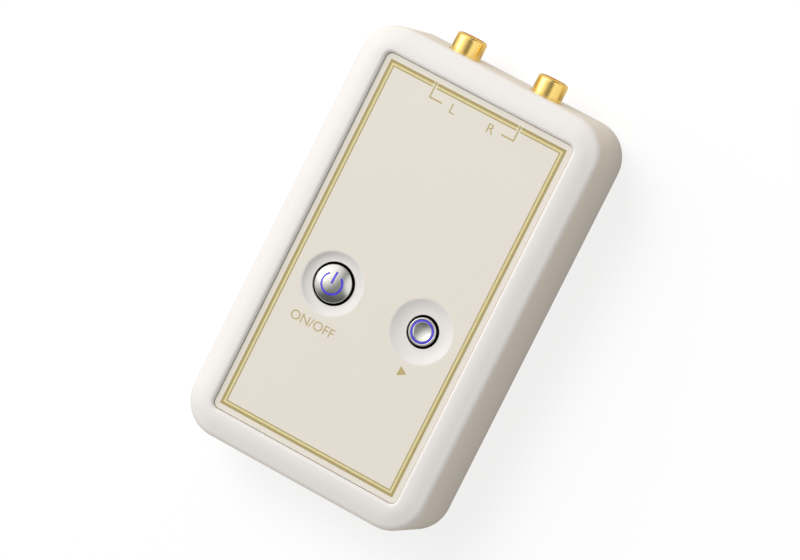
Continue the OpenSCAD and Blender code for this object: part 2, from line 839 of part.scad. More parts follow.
// Gilt shell of a jack: a collar in the wall and a barrel behind it with a rounded end
module jack_shell(side) {
    color("#e0b94f") at_jack(side) rotate_extrude() difference() {
        union() {
            translate([0, contact_back]) square([tail_r, jack_end - contact_back]);
            translate([0, jack_front]) square([shell_r, jack_end - jack_front]);
            translate([0, jack_front]) square([collar_r, wall_rear - jack_front]);
        }
        translate([0, contact_back - over]) square([shell_in_r, jack_end - contact_back + 2 * over]);
        translate([shell_r, jack_end]) corner_round(jack_edge);
    }
}

module left_jack_shell() {
    jack_shell(-1);
}

module right_jack_shell() {
    jack_shell(1);
}

// Insulator between a jack's shell and its centre contact
module jack_insulator(side) {
    color("#f4f2ec") at_jack(side) rotate_extrude()
        translate([contact_r + contact_t, contact_back])
            square([shell_in_r - contact_r - contact_t, insulator_end - contact_back]);
}

module left_jack_insulator() {
    jack_insulator(-1);
}

module right_jack_insulator() {
    jack_insulator(1);
}

// Gilt centre contact of a jack, closed at its back
module jack_contact(side) {
    back_t = 1;
    color("#d9b24a") at_jack(side) rotate_extrude() {
        translate([contact_r, contact_back]) square([contact_t, insulator_end - contact_back]);
        translate([0, contact_back]) square([contact_r + contact_t, back_t]);
    }
}

module left_jack_contact() {
    jack_contact(-1);
}

module right_jack_contact() {
    jack_contact(1);
}

// Nine-volt block battery on its side, with its two terminals
module battery() {
    spread = battery_w / 4;
    color("#40454c") translate([battery_x, battery_mid, battery_z + battery_h / 2]) {
        rotate([90, 0, 90]) linear_extrude(battery_l) rounded_rect(battery_w, battery_h, battery_edge);
        for (y = [-1, 1]) translate([battery_l, y * spread, 0])
            rotate([0, 90, 0]) cylinder(d = terminal_d, h = terminal_l);
    }
}

// Moulded snap connector over the battery's terminals
module battery_snap() {
    snap_h = battery_h - 2 * snap_in_h;
    pocket_d = terminal_d + 2 * battery_gap;
    pocket_l = terminal_l - snap_over + slide_gap;
    color("#222224") translate([snap_x, battery_mid, battery_z + battery_h / 2]) difference() {
        rotate([90, 0, 90]) linear_extrude(snap_t) rounded_rect(snap_w, snap_h, snap_h / 3);
        for (y = [-1, 1]) translate([-over, y * battery_w / 4, 0])
            rotate([0, 90, 0]) cylinder(d = pocket_d, h = pocket_l + over);
    }
}

// Point on a smooth curve between two ends, drawn towards two handles
function along(a, b, c, d, t) =
    (1 - t) ^ 3 * a + 3 * (1 - t) ^ 2 * t * b + 3 * (1 - t) * t ^ 2 * c + t ^ 3 * d;

// Ring of points round a route's point, square to the route there
function ring_at(p, ahead, r) =
    let (f = ahead / norm(ahead), s = cross(f, [0.3, 0.2, 1]), u = s / norm(s), v = cross(f, u))
    [for (i = [0 : lead_sides - 1]) let (turn = i * 360 / lead_sides)
        p + r * (cos(turn) * u + sin(turn) * v)];

// Round tube along a route
module tube(route, r) {
    last = len(route) - 1;
    points = [for (i = [0 : last])
        each ring_at(route[i], route[min(i + 1, last)] - route[max(i - 1, 0)], r)];
    sides = [for (i = [0 : last - 1], k = [0 : lead_sides - 1]) let (n = (k + 1) % lead_sides)
        each [[i * lead_sides + k, i * lead_sides + n, (i + 1) * lead_sides + n],
              [i * lead_sides + k, (i + 1) * lead_sides + n, (i + 1) * lead_sides + k]]];
    near = [for (k = [1 : lead_sides - 2]) [0, k + 1, k]];
    end = last * lead_sides;
    far = [for (k = [1 : lead_sides - 2]) [end, end + k, end + k + 1]];
    polyhedron(points, concat(sides, near, far));
}

// One battery lead from the snap connector's edge, past the end of the bulkhead, to the header's front
module battery_lead(row) {
    start = [snap_x + snap_t / 2 + row * lead_pitch / 2, battery_mid + snap_w / 2, battery_z + battery_h / 2];
    finish = [header_x + row * lead_pitch / 2, header_front, board_z + header_h / 2];
    stub = [0, lead_stub, 0];
    pull = [0, lead_pull, 0];
    a = start + stub;
    b = finish - stub;
    curve = [for (i = [0 : lead_steps]) along(a, a + pull, b - pull, b, i / lead_steps)];
    tube(concat([start], curve, [finish]), lead_d / 2);
}

module battery_lead_red() {
    color("#b3261e") battery_lead(1);
}

module battery_lead_black() {
    color("#1e1e20") battery_lead(-1);
}

// Two-way header that takes the battery leads
module lead_header() {
    color("#e9e6df") translate([header_x - header_w / 2, header_front, board_z])
        cube([header_w, header_l, header_h]);
}

// Chip with a row of legs along each side
module chip(w, l, h, legs) {
    translate([-w / 2, -l / 2, chip_stand]) cube([w, l, h]);
    for (x = [-1, 1], i = [0 : legs - 1])
        translate([x * w / 2 - leg_reach, (i - (legs - 1) / 2) * leg_pitch - leg_w / 2, 0])
            cube([2 * leg_reach, leg_w, chip_stand + h / 4]);
}

module controller_chip() {
    legs = floor(controller_l / leg_pitch);
    color("#2c2c30") translate([0, room_y - (chip_gap + controller_l) / 2, board_z])
        chip(controller_w, controller_l, controller_h, legs);
}

module amplifier_chip() {
    legs = floor(amplifier_l / leg_pitch);
    color("#2c2c30") translate([0, room_y + (chip_gap + amplifier_l) / 2, board_z])
        chip(amplifier_w, amplifier_l, amplifier_h, legs);
}

// Row of axial resistors lying on the board
module resistors() {
    half_span = resistor_l / 2 + resistor_wire_l;
    axis_z = resistor_d / 2;
    color("#c9b48a") for (i = [-1.5 : 1.5])
        translate([-side_x, room_y + i * resistor_pitch, board_z + axis_z]) {
            rotate([0, 90, 0]) cylinder(d = resistor_d, h = resistor_l, center = true);
            rotate([0, 90, 0]) cylinder(d = resistor_wire_d, h = 2 * half_span, center = true);
            for (x = [-1, 1]) translate([x * half_span, 0, -axis_z])
                cylinder(d = resistor_wire_d, h = axis_z + resistor_wire_d / 2);
        }
}

// Upright capacitors on the board
module capacitors() {
    crimp_r = 0.7;
    color("#31406b") for (i = [-1 : 1])
        translate([side_x, room_y + i * capacitor_pitch, board_z]) rotate_extrude() difference() {
            square([capacitor_d / 2, capacitor_h]);
            translate([capacitor_d / 2 + crimp_r - crimp_depth, crimp_z]) circle(crimp_r);
        }
}

// Pan-head screw pointing up, its head's underside at the origin's height
module screw(d, l, head_d, head_h) {
    slot = [0.5 * head_d, 0.14 * head_d];
    difference() {
        union() {
            cylinder(d = d, h = l);
            translate([0, 0, -head_h]) cylinder(d = head_d, h = head_h);
        }
        for (turn = [0, 90]) rotate(turn) translate([-slot.x / 2, -slot.y / 2, -head_h - over])
            cube([slot.x, slot.y, over + head_h / 2]);
    }
}

module case_screws() {
    color("#9a9da2") for (p = case_screw_places) translate([p.x, p.y, head_sink])
        screw(screw_d, screw_l, screw_head_d, screw_head_h);
}

module board_screws() {
    color("#9a9da2") for (p = board_screw_places) translate([p.x, p.y, board_z - board_t])
        screw(board_screw_d, board_screw_l, board_head_d, board_head_h);
}

upper_case();
back_cover();
battery_door();
front_panel();
power_cap();
power_light_guide();
power_plunger();
start_cap_rim();
start_cap_centre();
start_light_guide();
start_plunger();
circuit_board();
power_switch();
start_switch();
power_led();
start_led();
left_jack_housing();
right_jack_housing();
left_jack_shell();
right_jack_shell();
left_jack_insulator();
right_jack_insulator();
left_jack_contact();
right_jack_contact();
battery();
battery_snap();
battery_lead_red();
battery_lead_black();
lead_header();
controller_chip();
amplifier_chip();
resistors();
capacitors();
case_screws();
board_screws();
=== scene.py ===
"""Looks of a hand-held cartridge demagnetizer, laid out as an add-on and run as a script.

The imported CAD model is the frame. Operators dress its nodes, model the finer pieces that
stand for some of them, print the panel, and build the studio. Metres, +Z up, +Y to the jacks.
"""

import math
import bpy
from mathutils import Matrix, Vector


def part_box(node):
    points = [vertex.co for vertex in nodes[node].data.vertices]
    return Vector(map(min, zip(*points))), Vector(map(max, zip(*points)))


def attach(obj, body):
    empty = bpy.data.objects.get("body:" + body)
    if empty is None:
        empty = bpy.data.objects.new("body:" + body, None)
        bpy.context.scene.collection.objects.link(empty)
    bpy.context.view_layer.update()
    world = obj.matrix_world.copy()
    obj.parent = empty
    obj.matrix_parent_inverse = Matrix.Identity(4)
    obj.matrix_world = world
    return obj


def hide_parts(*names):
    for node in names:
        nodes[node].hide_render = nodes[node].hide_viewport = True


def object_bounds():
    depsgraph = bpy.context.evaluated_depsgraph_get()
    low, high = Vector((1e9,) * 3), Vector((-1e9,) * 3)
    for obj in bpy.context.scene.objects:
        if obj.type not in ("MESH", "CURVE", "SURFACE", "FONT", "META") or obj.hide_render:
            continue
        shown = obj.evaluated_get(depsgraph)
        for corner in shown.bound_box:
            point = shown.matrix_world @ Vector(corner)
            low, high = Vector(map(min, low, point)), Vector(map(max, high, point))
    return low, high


bl_info = {
    "name": "Cartridge demagnetizer looks",
    "version": (1, 0, 0),
    "blender": (4, 5, 0),
    "location": "3D View > Sidebar > Demagnetizer",
    "description": "Dresses and completes the packed model of a cartridge demagnetizer",
    "category": "Object",
}

import bpy
from bpy.props import FloatProperty, FloatVectorProperty, PointerProperty, StringProperty
from mathutils import Matrix, Vector

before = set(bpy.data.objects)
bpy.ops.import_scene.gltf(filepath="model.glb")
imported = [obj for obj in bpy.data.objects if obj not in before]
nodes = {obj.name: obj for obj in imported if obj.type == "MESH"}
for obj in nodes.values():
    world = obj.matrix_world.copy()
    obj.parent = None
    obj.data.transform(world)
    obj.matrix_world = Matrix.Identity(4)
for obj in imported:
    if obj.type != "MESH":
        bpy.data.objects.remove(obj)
cad_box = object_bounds()

MM = 0.001
UP = Vector((0, 0, 1))
RIGHT = Vector((1, 0, 0))
REAR = Vector((0, 1, 0))
FULL_TURN = 2 * math.pi
PANEL_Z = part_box("front_panel")[1].z
# Points that lie closer than this are one point
SAME = 0.0005 * MM
# Faces that meet at less than this angle are shaded as one surface
SMOOTH = math.radians(30)

# Sockets of a Mix node: the share of its second colour, and both colours
SHARE, FIRST, SECOND = 0, 6, 7
# Range that most values of a noise texture lie in
NOISE = {"From Min": 0.3, "From Max": 0.7}
# Blender's wave texture makes 20 radians of its wave in each unit of scaled length
WAVE_TURN = FULL_TURN / 20
# Widths of the faint clouds in plastic and paint, and of the marks of handling
CLOUD_MM, TOUCH_MM = 24, 7

# Camera, fitted to the photograph's perspective
CAMERA_SPOT = Vector((0.33568, 0.13441, 1.24472))
CAMERA_AIM = Vector((0.002214, 0.000482, 0.0249))
CAMERA_LEAN = math.radians(26.657)
LENS_MM, SENSOR_MM = 224.48, 36
KEY_WAY = Vector((-0.45, 0.36, 0.82)).normalized()
# Bright parts of the room: the way to each, and the cosines at which its light starts and is full
WINDOW = ((-0.85, 0.35, 0.39), 0.25, 0.98)
CEILING = ((0.1, 0.15, 0.98), 0.5, 0.95)
RIGHT_SIDE = ((0.85, 0.3, 0.43), 0.66, 0.9)
WINDOW_CORE = ((-0.83, 0.08, 0.55), 0.93, 0.99)

FLOOR_SIDE = 6
# Small faces, which a ray from the underside can't miss
FLOOR_CUTS = 99
# Just below the case, so that its underside doesn't lie in the floor
FLOOR_DROP = 0.05 * MM
# Brightness of the floor to the eye
FLOOR_WHITE = 1.02
# Its light on the object, with a painted shadow: dim beside the case and full this far off
FLOOR_PAINTED_SHADOW, FLOOR_FAR, PAINTED_SHADOW_REACH = 0.34, 0.9, 80 * MM
# Painted light: the floor is brighter behind the rear wall, rising between these depths
FLOOR_PAINTED_REAR_LIGHT, REAR_START, REAR_END = 0.75, 55 * MM, 61 * MM
# Painted light on the underside: added to the floor's light for rays that start this close
FLOOR_PAINTED_UNDER_LIGHT, UNDER_REACH = 0.4, 1 * MM


def linear(code):
    """Linear colour of an sRGB hex code."""
    levels = [int(code[i:i + 2], 16) / 255 for i in (1, 3, 5)]
    return tuple(v / 12.92 if v <= 0.04045 else ((v + 0.055) / 1.055) ** 2.4 for v in levels)


def per_mm(size):
    """Scale of a pattern whose features are this many millimetres wide."""
    return 1 / (size * MM)


def middle(name):
    """Middle of a CAD node's box."""
    low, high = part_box(name)
    return (low + high) / 2


def colour(label, owner, code):
    """Colour property, given as an sRGB hex code."""
    return FloatVectorProperty(
        name=label, description=f"Colour of {owner}", subtype="COLOR", min=0, max=1, default=linear(code))


def length(label, words, size):
    """Length property, given in millimetres."""
    return FloatProperty(name=label, description=words, unit="LENGTH", default=size * MM)


def level(label, words, value):
    """Property for a number that is never negative."""
    return FloatProperty(name=label, description=words, min=0, default=value)


class CaseLooks(bpy.types.PropertyGroup):
    ivory: colour("Case", "the moulded case", "#EEEAE6")
    cream: colour("Panel", "the paint on the inlaid panel", "#EAE3D7")
    rough: level("Roughness", "Roughness of the bare plastic", 0.34)
    paint_rough: level("Paint roughness", "Roughness of the panel's paint", 0.42)
    grain: length("Mould grain", "Width of the mould's grain on the case", 0.35)
    well: length("Well", "Radius of the wells, which the paint leaves bare", 8.55)
    # Painted shade: the wells' ivory is darkened by this factor
    bare: level("Bare wells", "Brightness of the bare wells against the case", 0.95)


class PrintSizes(bpy.types.PropertyGroup):
    gold: colour("Gold ink", "the border's lines", "#B5A46D")
    tint: colour("Tint", "the pale band inside the border", "#E7DAA6")
    soft_gold: colour("Soft gold ink", "the brackets and signs", "#C4B27C")
    film: length("Ink film", "Thickness of the printed ink", 0.03)
    half_width: length("Half width", "Border's edge from the middle, across", 26.1)
    half_length: length("Half length", "Border's edge from the middle, along", 49.55)
    line: length("Outer line", "Width of the border's outer line", 0.7)
    band: length("Pale band", "Width of the band between the border's lines", 0.55)
    hairline: length("Inner line", "Width of the border's inner line", 0.3)
    bracket_x: length("Bracket place", "Brackets' distance from the middle", 12.45)
    bracket_y: length("Bracket foot", "Brackets' feet from the middle", 45.2)
    bracket_in: length("Bracket reach", "Length of the brackets' feet", 3.4)
    bracket_line: length("Bracket line", "Width of the brackets' lines", 0.4)
    bracket_break: length("Bracket break", "Open border on each side of a bracket", 0.6)
    dot: length("Bracket dot", "Radius of the dot at a bracket's top", 0.45)
    letter: length("Sign height", "Height of the printed signs", 2.5)
    sign_x: length("Jack signs", "Jacks' signs from the middle", 5.6)
    sign_drop: length("Sign drop", "Signs' distance in front of the buttons", 11.5)
    corner: length("Triangle corners", "Round on the corners of the start sign", 0.25)
    power_sign: StringProperty(name="Power sign", description="Words of the power sign", default="ON/OFF")


class ButtonLooks(bpy.types.PropertyGroup):
    chrome: colour("Chrome", "the plated caps", "#DBDAD3")
    light: colour("Light", "the lit guides", "#4A3FC0")
    glow: level("Glow", "Strength of the guides' light", 0.4)
    dome: length("Dome", "Height of the power cap's dome", 1.5)
    edge: length("Cap edge", "Round on the edge of the power cap", 0.4)
    wall: length("Cap wall", "Thickness of the power cap's skirt", 1)
    web: length("Cap web", "Thickness of that cap at the foot of its dome", 0.3)
    symbol: length("Symbol", "Mean radius of the power symbol's ring", 2.8)
    stroke: length("Stroke", "Width of the power symbol's lines", 0.54)
    opening: FloatProperty(
        name="Opening", description="Opening of the power symbol's ring", subtype="ANGLE",
        default=math.radians(75))
    hollow: length("Hollow", "Depth of the hollow in the start cap", 0.5)
    ring_inner: length("Ring inside", "Inner radius of the start cap's lit ring", 2.6)
    ring_outer: length("Ring outside", "Outer radius of the start cap's lit ring", 3.06)
    slack: length("Slack", "Gap between a guide and its cap", 0.02)
    stem: length("Stem", "Radius of a light guide's stem", 2)
    disc: length("Disc", "Thickness of a light guide's disc", 1.2)


class JackLooks(bpy.types.PropertyGroup):
    gold: colour("Gold plate", "the plated shells and contacts", "#FFDA81")
    nylon: colour("Insulator", "the jacks' insulators", "#EFECE4")
    turning: length("Turning marks", "Distance between the lathe's fine rings", 0.15)
    slit: length("Slit", "Width of the slits in a centre contact", 0.35)
    slit_depth: length("Slit depth", "Length of the slits in a centre contact", 4)


class ScrewLooks(bpy.types.PropertyGroup):
    zinc: colour("Zinc", "the plated screws", "#B9BCC0")
    head: length("Head", "Height of a case screw's head", 1.7)
    head_radius: length("Head radius", "Radius of a case screw's head", 2.5)
    shank_radius: length("Shank radius", "Radius of a case screw's shank", 1.3)
    crown: length("Head round", "Round on the edge of a case screw's head", 0.8)
    recess: length("Recess", "Depth of the cross in a case screw's head", 1)


class BatteryLooks(bpy.types.PropertyGroup):
    jacket: colour("Jacket", "the battery's lacquered jacket", "#4B5563")
    band: colour("Band", "the band round the battery's jacket", "#C9CCD0")
    nickel: colour("Nickel", "the plated terminals", "#C4C2BC")
    edge: length("Edge", "Round on the battery's long edges", 2)
    crimp: length("Crimp", "Width of the jacket's rolled ends", 0.9)
    terminal: length("Terminal", "Height of the terminals", 3)


class InsideLooks(bpy.types.PropertyGroup):
    mask: colour("Board", "the board's solder mask", "#1F5B3A")
    black: colour("Black plastic", "switches, plungers and jack housings", "#26262A")
    chip: colour("Chip", "the chips' moulding", "#1C1C1E")
    red: colour("Red lead", "the battery's positive lead", "#B3261E")
    resistor: colour("Resistor", "the resistors' lacquer", "#C8B28A")
    stripe: colour("Stripe", "the resistors' rings", "#6B3A22")
    sleeve: colour("Sleeve", "the capacitors' sleeves", "#2F3F6B")


class StageLooks(bpy.types.PropertyGroup):
    key_power: FloatProperty(
        name="Key light", description="Power of the large soft lamp", unit="POWER", default=6.0)
    key_size: length("Key size", "Side of the large soft lamp", 600)
    key_distance: length("Key distance", "Distance of the large soft lamp", 1200)
    ambient: level("Ambient", "Level of the room's even light", 0.39)
    glow: level("Window light", "Light of the broad window on plastics", 0.66)
    window: level("Window", "Mirrored brightness of the window", 1.2)
    core: level("Window core", "Mirrored brightness added in its middle", 1.7)
    ceiling: level("Ceiling", "Mirrored brightness of the ceiling", 0.2)
    side: level("Right side", "Mirrored brightness of the right side", 0.85)
    gloom: level("Gloom", "Mirrored brightness of the dark part", 0.12)
    floor_tint: colour("Floor tint", "the floor's light on the sides", "#FFF3DE")
    # Tint of the painted light on the underside
    painted_under_tint: colour("Under tint", "the floor's light on the underside", "#FFFCF7")
    shadow: FloatProperty(
        name="Shadow", description="Share of the floor's brightness that the object can shade",
        subtype="FACTOR", min=0, max=1, default=0.26)


def fill(tree, made, inputs):
    """Sets a node's inputs, or links them to a socket or to a node's first output in use."""
    for name, value in inputs.items():
        if isinstance(value, bpy.types.Node):
            value = next(output for output in value.outputs if output.enabled)
        if isinstance(value, bpy.types.NodeSocket):
            tree.links.new(value, made.inputs[name])
        else:
            made.inputs[name].default_value = value


def node(tree, kind, inputs=None, **settings):
    """Adds a shader node of a kind, sets it up and fills its inputs."""
    made = tree.nodes.new("ShaderNode" + kind)
    for name, value in settings.items():
        setattr(made, name, value)
    fill(tree, made, inputs or {})
    return made


def toned(tone, factor=1):
    """Colour made darker or lighter by a factor, with the alpha that a socket takes."""
    return (*(min(1, v * factor) for v in tone[:3]), 1)


def blank(name, constants):
    """New material: its tree, its shader with the constant sockets set, and object coordinates."""
    material = bpy.data.materials.new(name)
    material.use_nodes = True
    tree = material.node_tree
    shader = tree.nodes["Principled BSDF"]
    fill(tree, shader, constants)
    coords = node(tree, "TexCoord").outputs["Object"]
    return material, tree, shader, coords


def moulded(name, tone, rough, grain_mm=0.3, depth_mm=0.006, spread=0.02, constants=None):
    """Moulded plastic: an even tone with faint flow clouds, and the mould's fine grain."""
    material, tree, shader, coords = blank(name, constants or {})
    cloud = node(tree, "TexNoise", {"Vector": coords, "Scale": per_mm(CLOUD_MM), "Detail": 3})
    shade = node(tree, "Mix", {
        SHARE: cloud, FIRST: toned(tone, 1 - spread), SECOND: toned(tone, 1 + spread)}, data_type="RGBA")
    grain = node(tree, "TexNoise", {"Vector": coords, "Scale": per_mm(grain_mm), "Detail": 2})
    touch = node(tree, "TexNoise", {"Vector": coords, "Scale": per_mm(TOUCH_MM), "Detail": 4})
    gloss = node(tree, "MapRange", {
        "Value": touch, **NOISE, "To Min": rough - 0.04, "To Max": rough + 0.04})
    bump = node(tree, "Bump", {"Height": grain, "Strength": 0.5, "Distance": depth_mm * MM})
    fill(tree, shader, {"Base Color": shade, "Roughness": gloss, "Normal": bump})
    return material


def metal_ink(name, tone):
    """Screen-printed metal ink: fine flakes that catch the light, on a dull binder."""
    material, tree, shader, coords = blank(name, {"Metallic": 0.25})
    # Real flakes are about 0.03 mm; drawn at 0.2 mm so that they show
    flake = node(tree, "TexVoronoi", {"Vector": coords, "Scale": per_mm(0.2)}).outputs["Color"]
    shade = node(tree, "Mix", {
        SHARE: flake, FIRST: toned(tone, 0.9), SECOND: toned(tone, 1.12)}, data_type="RGBA")
    gloss = node(tree, "MapRange", {"Value": flake, "To Min": 0.38, "To Max": 0.55})
    fill(tree, shader, {"Base Color": shade, "Roughness": gloss})
    return material


def plated(name, tone, rough, ring_mm=None):
    """Plated metal: a bright tinted mirror with faint haze, and lathe rings where it was turned."""
    material, tree, shader, coords = blank(name, {"Metallic": 1.0})
    haze = node(tree, "TexNoise", {"Vector": coords, "Scale": per_mm(1.5), "Detail": 4})
    shade = node(tree, "Mix", {
        SHARE: haze, FIRST: toned(tone, 0.95), SECOND: toned(tone, 1.03)}, data_type="RGBA")
    gloss = node(tree, "MapRange", {"Value": haze, **NOISE, "To Min": rough * 0.88, "To Max": rough * 1.12})
    fill(tree, shader, {"Base Color": shade, "Roughness": gloss})
    if ring_mm:
        ring = node(tree, "TexWave", {
            "Vector": coords, "Scale": WAVE_TURN * per_mm(ring_mm), "Distortion": 1.5, "Detail": 2},
            bands_direction="Y")
        bump = node(tree, "Bump", {"Height": ring.outputs["Fac"], "Strength": 0.25, "Distance": 0.002 * MM})
        fill(tree, shader, {"Normal": bump})
    return material


def lit_acrylic(name, tone, glow):
    """Clear acrylic with a lamp behind it: glows evenly, with slightly brighter patches."""
    material, tree, shader, coords = blank(name, {"IOR": 1.49, "Roughness": 0.25, "Emission Strength": glow})
    patch = node(tree, "TexNoise", {"Vector": coords, "Scale": per_mm(1.8), "Detail": 1})
    shade = node(tree, "Mix", {
        SHARE: patch, FIRST: toned(tone, 0.75), SECOND: toned(tone, 1.2)}, data_type="RGBA")
    fill(tree, shader, {"Base Color": shade, "Emission Color": shade})
    return material


def ringed(name, tone, stripe, pitch_mm, share, rough):
    """Lacquer or sleeve with rings of a second colour at an even pitch from left to right."""
    material, tree, shader, coords = blank(name, {"IOR": 1.5})
    wave = node(tree, "TexWave", {"Vector": coords, "Scale": WAVE_TURN * per_mm(pitch_mm)},
                bands_direction="X")
    edge = node(tree, "MapRange", {
        "Value": wave.outputs["Fac"], "From Min": 1 - share - 0.05, "From Max": 1 - share + 0.05})
    shade = node(tree, "Mix", {SHARE: edge, FIRST: toned(tone), SECOND: toned(stripe)}, data_type="RGBA")
    smear = node(tree, "TexNoise", {"Vector": coords, "Scale": per_mm(2), "Detail": 3})
    gloss = node(tree, "MapRange", {
        "Value": smear, **NOISE, "To Min": rough - 0.05, "To Max": rough + 0.05})
    fill(tree, shader, {"Base Color": shade, "Roughness": gloss})
    return material


def painted_panel(looks):
    """Ivory ABS under cream paint: duller than the case, and bare and brighter in the wells, whose ivory
    carries a slight painted shade.
    """
    material, tree, shader, coords = blank("painted_abs_panel_cream", {
        "IOR": 1.5, "Specular IOR Level": 0.4})
    flat = node(tree, "VectorMath", {0: coords, 1: (1, 1, 0)}, operation="MULTIPLY")
    reach = []
    for button in ("power_cap", "start_cap_rim"):
        spot = middle(button)
        reach.append(node(tree, "VectorMath", {0: flat, 1: (spot.x, spot.y, 0)}, operation="DISTANCE"))
    nearest = node(tree, "Math", {0: reach[0], 1: reach[1]}, operation="MINIMUM")
    # Blur of the paint's edge, width of its grain, and spread of its tone
    blur, tooth_mm, spread = 0.05 * MM, 0.25, 0.015
    painted = node(tree, "MapRange", {
        "Value": nearest, "From Min": looks.well - blur, "From Max": looks.well + blur})
    cloud = node(tree, "TexNoise", {"Vector": coords, "Scale": per_mm(CLOUD_MM), "Detail": 3})
    # The wells' ivory, darkened by looks.bare as a painted shade in the wells
    bare, paint = [node(tree, "Mix", {
        SHARE: cloud, FIRST: toned(tone, shine - spread), SECOND: toned(tone, shine + spread)},
        data_type="RGBA") for tone, shine in ((looks.ivory, looks.bare), (looks.cream, 1))]
    shade = node(tree, "Mix", {SHARE: painted, FIRST: bare, SECOND: paint}, data_type="RGBA")
    tooth = node(tree, "TexNoise", {"Vector": coords, "Scale": per_mm(tooth_mm), "Detail": 2})
    gloss = node(tree, "MapRange", {"Value": painted, "To Min": looks.rough, "To Max": looks.paint_rough})
    bump = node(tree, "Bump", {"Height": tooth, "Strength": 0.5, "Distance": 0.006 * MM})
    fill(tree, shader, {"Base Color": shade, "Roughness": gloss, "Normal": bump})
    return material


def battery_steel(looks, start, end):
    """Lacquered steel: glossy, dark, with one pale band near the terminals."""
    material, tree, shader, coords = blank("lacquered_steel_jacket", {"IOR": 1.5, "Coat Weight": 0.3})
    along = node(tree, "SeparateXYZ", {0: coords}).outputs["X"]
    # Ends of the band and the blur of its edges, as shares of the jacket's length
    band, blur = (0.74, 0.86), 0.005
    begun, ended = [node(tree, "MapRange", {
        "Value": along, "From Min": start + share * (end - start),
        "From Max": start + (share + blur) * (end - start)}) for share in band]
    inside = node(tree, "Math", {0: begun, 1: ended}, operation="SUBTRACT")
    shade = node(tree, "Mix", {
        SHARE: inside, FIRST: toned(looks.jacket), SECOND: toned(looks.band)}, data_type="RGBA")
    scuff = node(tree, "TexNoise", {"Vector": coords, "Scale": per_mm(1.2), "Detail": 5})
    gloss = node(tree, "MapRange", {
        "Value": scuff, "From Min": 0.3, "From Max": 0.75, "To Min": 0.2, "To Max": 0.4})
    fill(tree, shader, {"Base Color": shade, "Roughness": gloss})
    return material


def pale_floor(looks):
    """Pale paint: white to the eye and clear from below; its light on the object has a painted shadow beside
    it and painted light behind and under it.
    """
    material, tree, shader, coords = blank("pale_floor", {})
    tree.nodes.remove(shader)
    ray = node(tree, "LightPath")
    eye = ray.outputs["Is Camera Ray"]
    paint = node(tree, "BsdfDiffuse", {"Color": (looks.shadow,) * 3 + (1,)})
    glow = node(tree, "Emission", {"Strength": FLOOR_WHITE - looks.shadow})
    seen = node(tree, "AddShader", {0: paint, 1: glow})
    across = node(tree, "VectorMath", {0: coords}, operation="ABSOLUTE")
    corner = (cad_box[1].x, cad_box[1].y, 0)
    beside = node(tree, "VectorMath", {0: across, 1: corner}, operation="SUBTRACT")
    outside = node(tree, "VectorMath", {0: beside, 1: (0, 0, 0)}, operation="MAXIMUM")
    away = node(tree, "VectorMath", {0: outside}, operation="LENGTH")
    # Painted shadow: the floor's light on the object is dimmer beside the case
    painted_shadow = node(tree, "MapRange", {
        "Value": away, "From Max": PAINTED_SHADOW_REACH, "To Min": FLOOR_PAINTED_SHADOW, "To Max": FLOOR_FAR})
    depth = node(tree, "SeparateXYZ", {0: coords}).outputs["Y"]
    # Painted pool of light on the floor behind the rear wall
    painted_rear_light = node(tree, "MapRange", {
        "Value": depth, "From Min": REAR_START, "From Max": REAR_END, "To Min": 0, "To Max": FLOOR_PAINTED_REAR_LIGHT})
    painted_light_and_shadow = node(tree, "Math", {0: painted_shadow, 1: painted_rear_light}, operation="MAXIMUM")
    # Painted light on the underside, for rays that start close to the floor
    underside_painted_light = node(tree, "Math", {0: ray.outputs["Ray Length"], 1: UNDER_REACH}, operation="LESS_THAN")
    bright = node(tree, "Math", {0: underside_painted_light, 1: FLOOR_PAINTED_UNDER_LIGHT, 2: painted_light_and_shadow}, operation="MULTIPLY_ADD")
    warmth = node(tree, "Mix", {
        SHARE: underside_painted_light, FIRST: toned(looks.floor_tint), SECOND: toned(looks.painted_under_tint)}, data_type="RGBA")
    # The floor's light on the object, painted shadow and painted light included
    painted_bounce = node(tree, "Emission", {"Color": warmth, "Strength": bright})
    upper = node(tree, "MixShader", {0: eye, 1: painted_bounce, 2: seen})
    clear = node(tree, "BsdfTransparent")
    back = node(tree, "NewGeometry").outputs["Backfacing"]
    below = node(tree, "Math", {0: back, 1: eye}, operation="MULTIPLY")
    whole = node(tree, "MixShader", {0: below, 1: upper, 2: clear})
    fill(tree, tree.nodes["Material Output"], {"Surface": whole})
    return material


def dress(material, *names):
    """Puts a material on CAD nodes."""
    for name in names:
        for slot in nodes[name].material_slots:
            slot.material = material


def mode(kind):
    """Switches the active piece to edit mode or object mode."""
    bpy.ops.object.mode_set(mode=kind)


def select(piece, kind, test):
    """In edit mode, selects the vertices, edges or faces of a piece whose middle passes a test."""
    bpy.ops.mesh.select_mode(type={"vertices": "VERT", "edges": "EDGE", "polygons": "FACE"}[kind])
    bpy.ops.mesh.select_all(action="DESELECT")
    mode("OBJECT")
    points = [v.co.copy() for v in piece.data.vertices]
    parts = getattr(piece.data, kind)
    for part in parts:
        corners = [part.index] if kind == "vertices" else part.vertices
        part.select = test(sum((points[i] for i in corners), Vector()) / len(corners))
    if not any(part.select for part in parts):
        raise RuntimeError(f"{piece.name} has no such {kind}")
    mode("EDIT")


def begin(name, add, stretch=None, **settings):
    """Starts a piece from one primitive, alone in the selection and in edit mode, and stretches it."""
    bpy.ops.object.select_all(action="DESELECT")
    add(**settings)
    piece = bpy.context.object
    piece.name = piece.data.name = name
    bpy.ops.object.transform_apply(location=True, rotation=True, scale=True)
    mode("EDIT")
    if stretch:
        bpy.ops.transform.resize(value=stretch, center_override=settings["location"])
    return piece


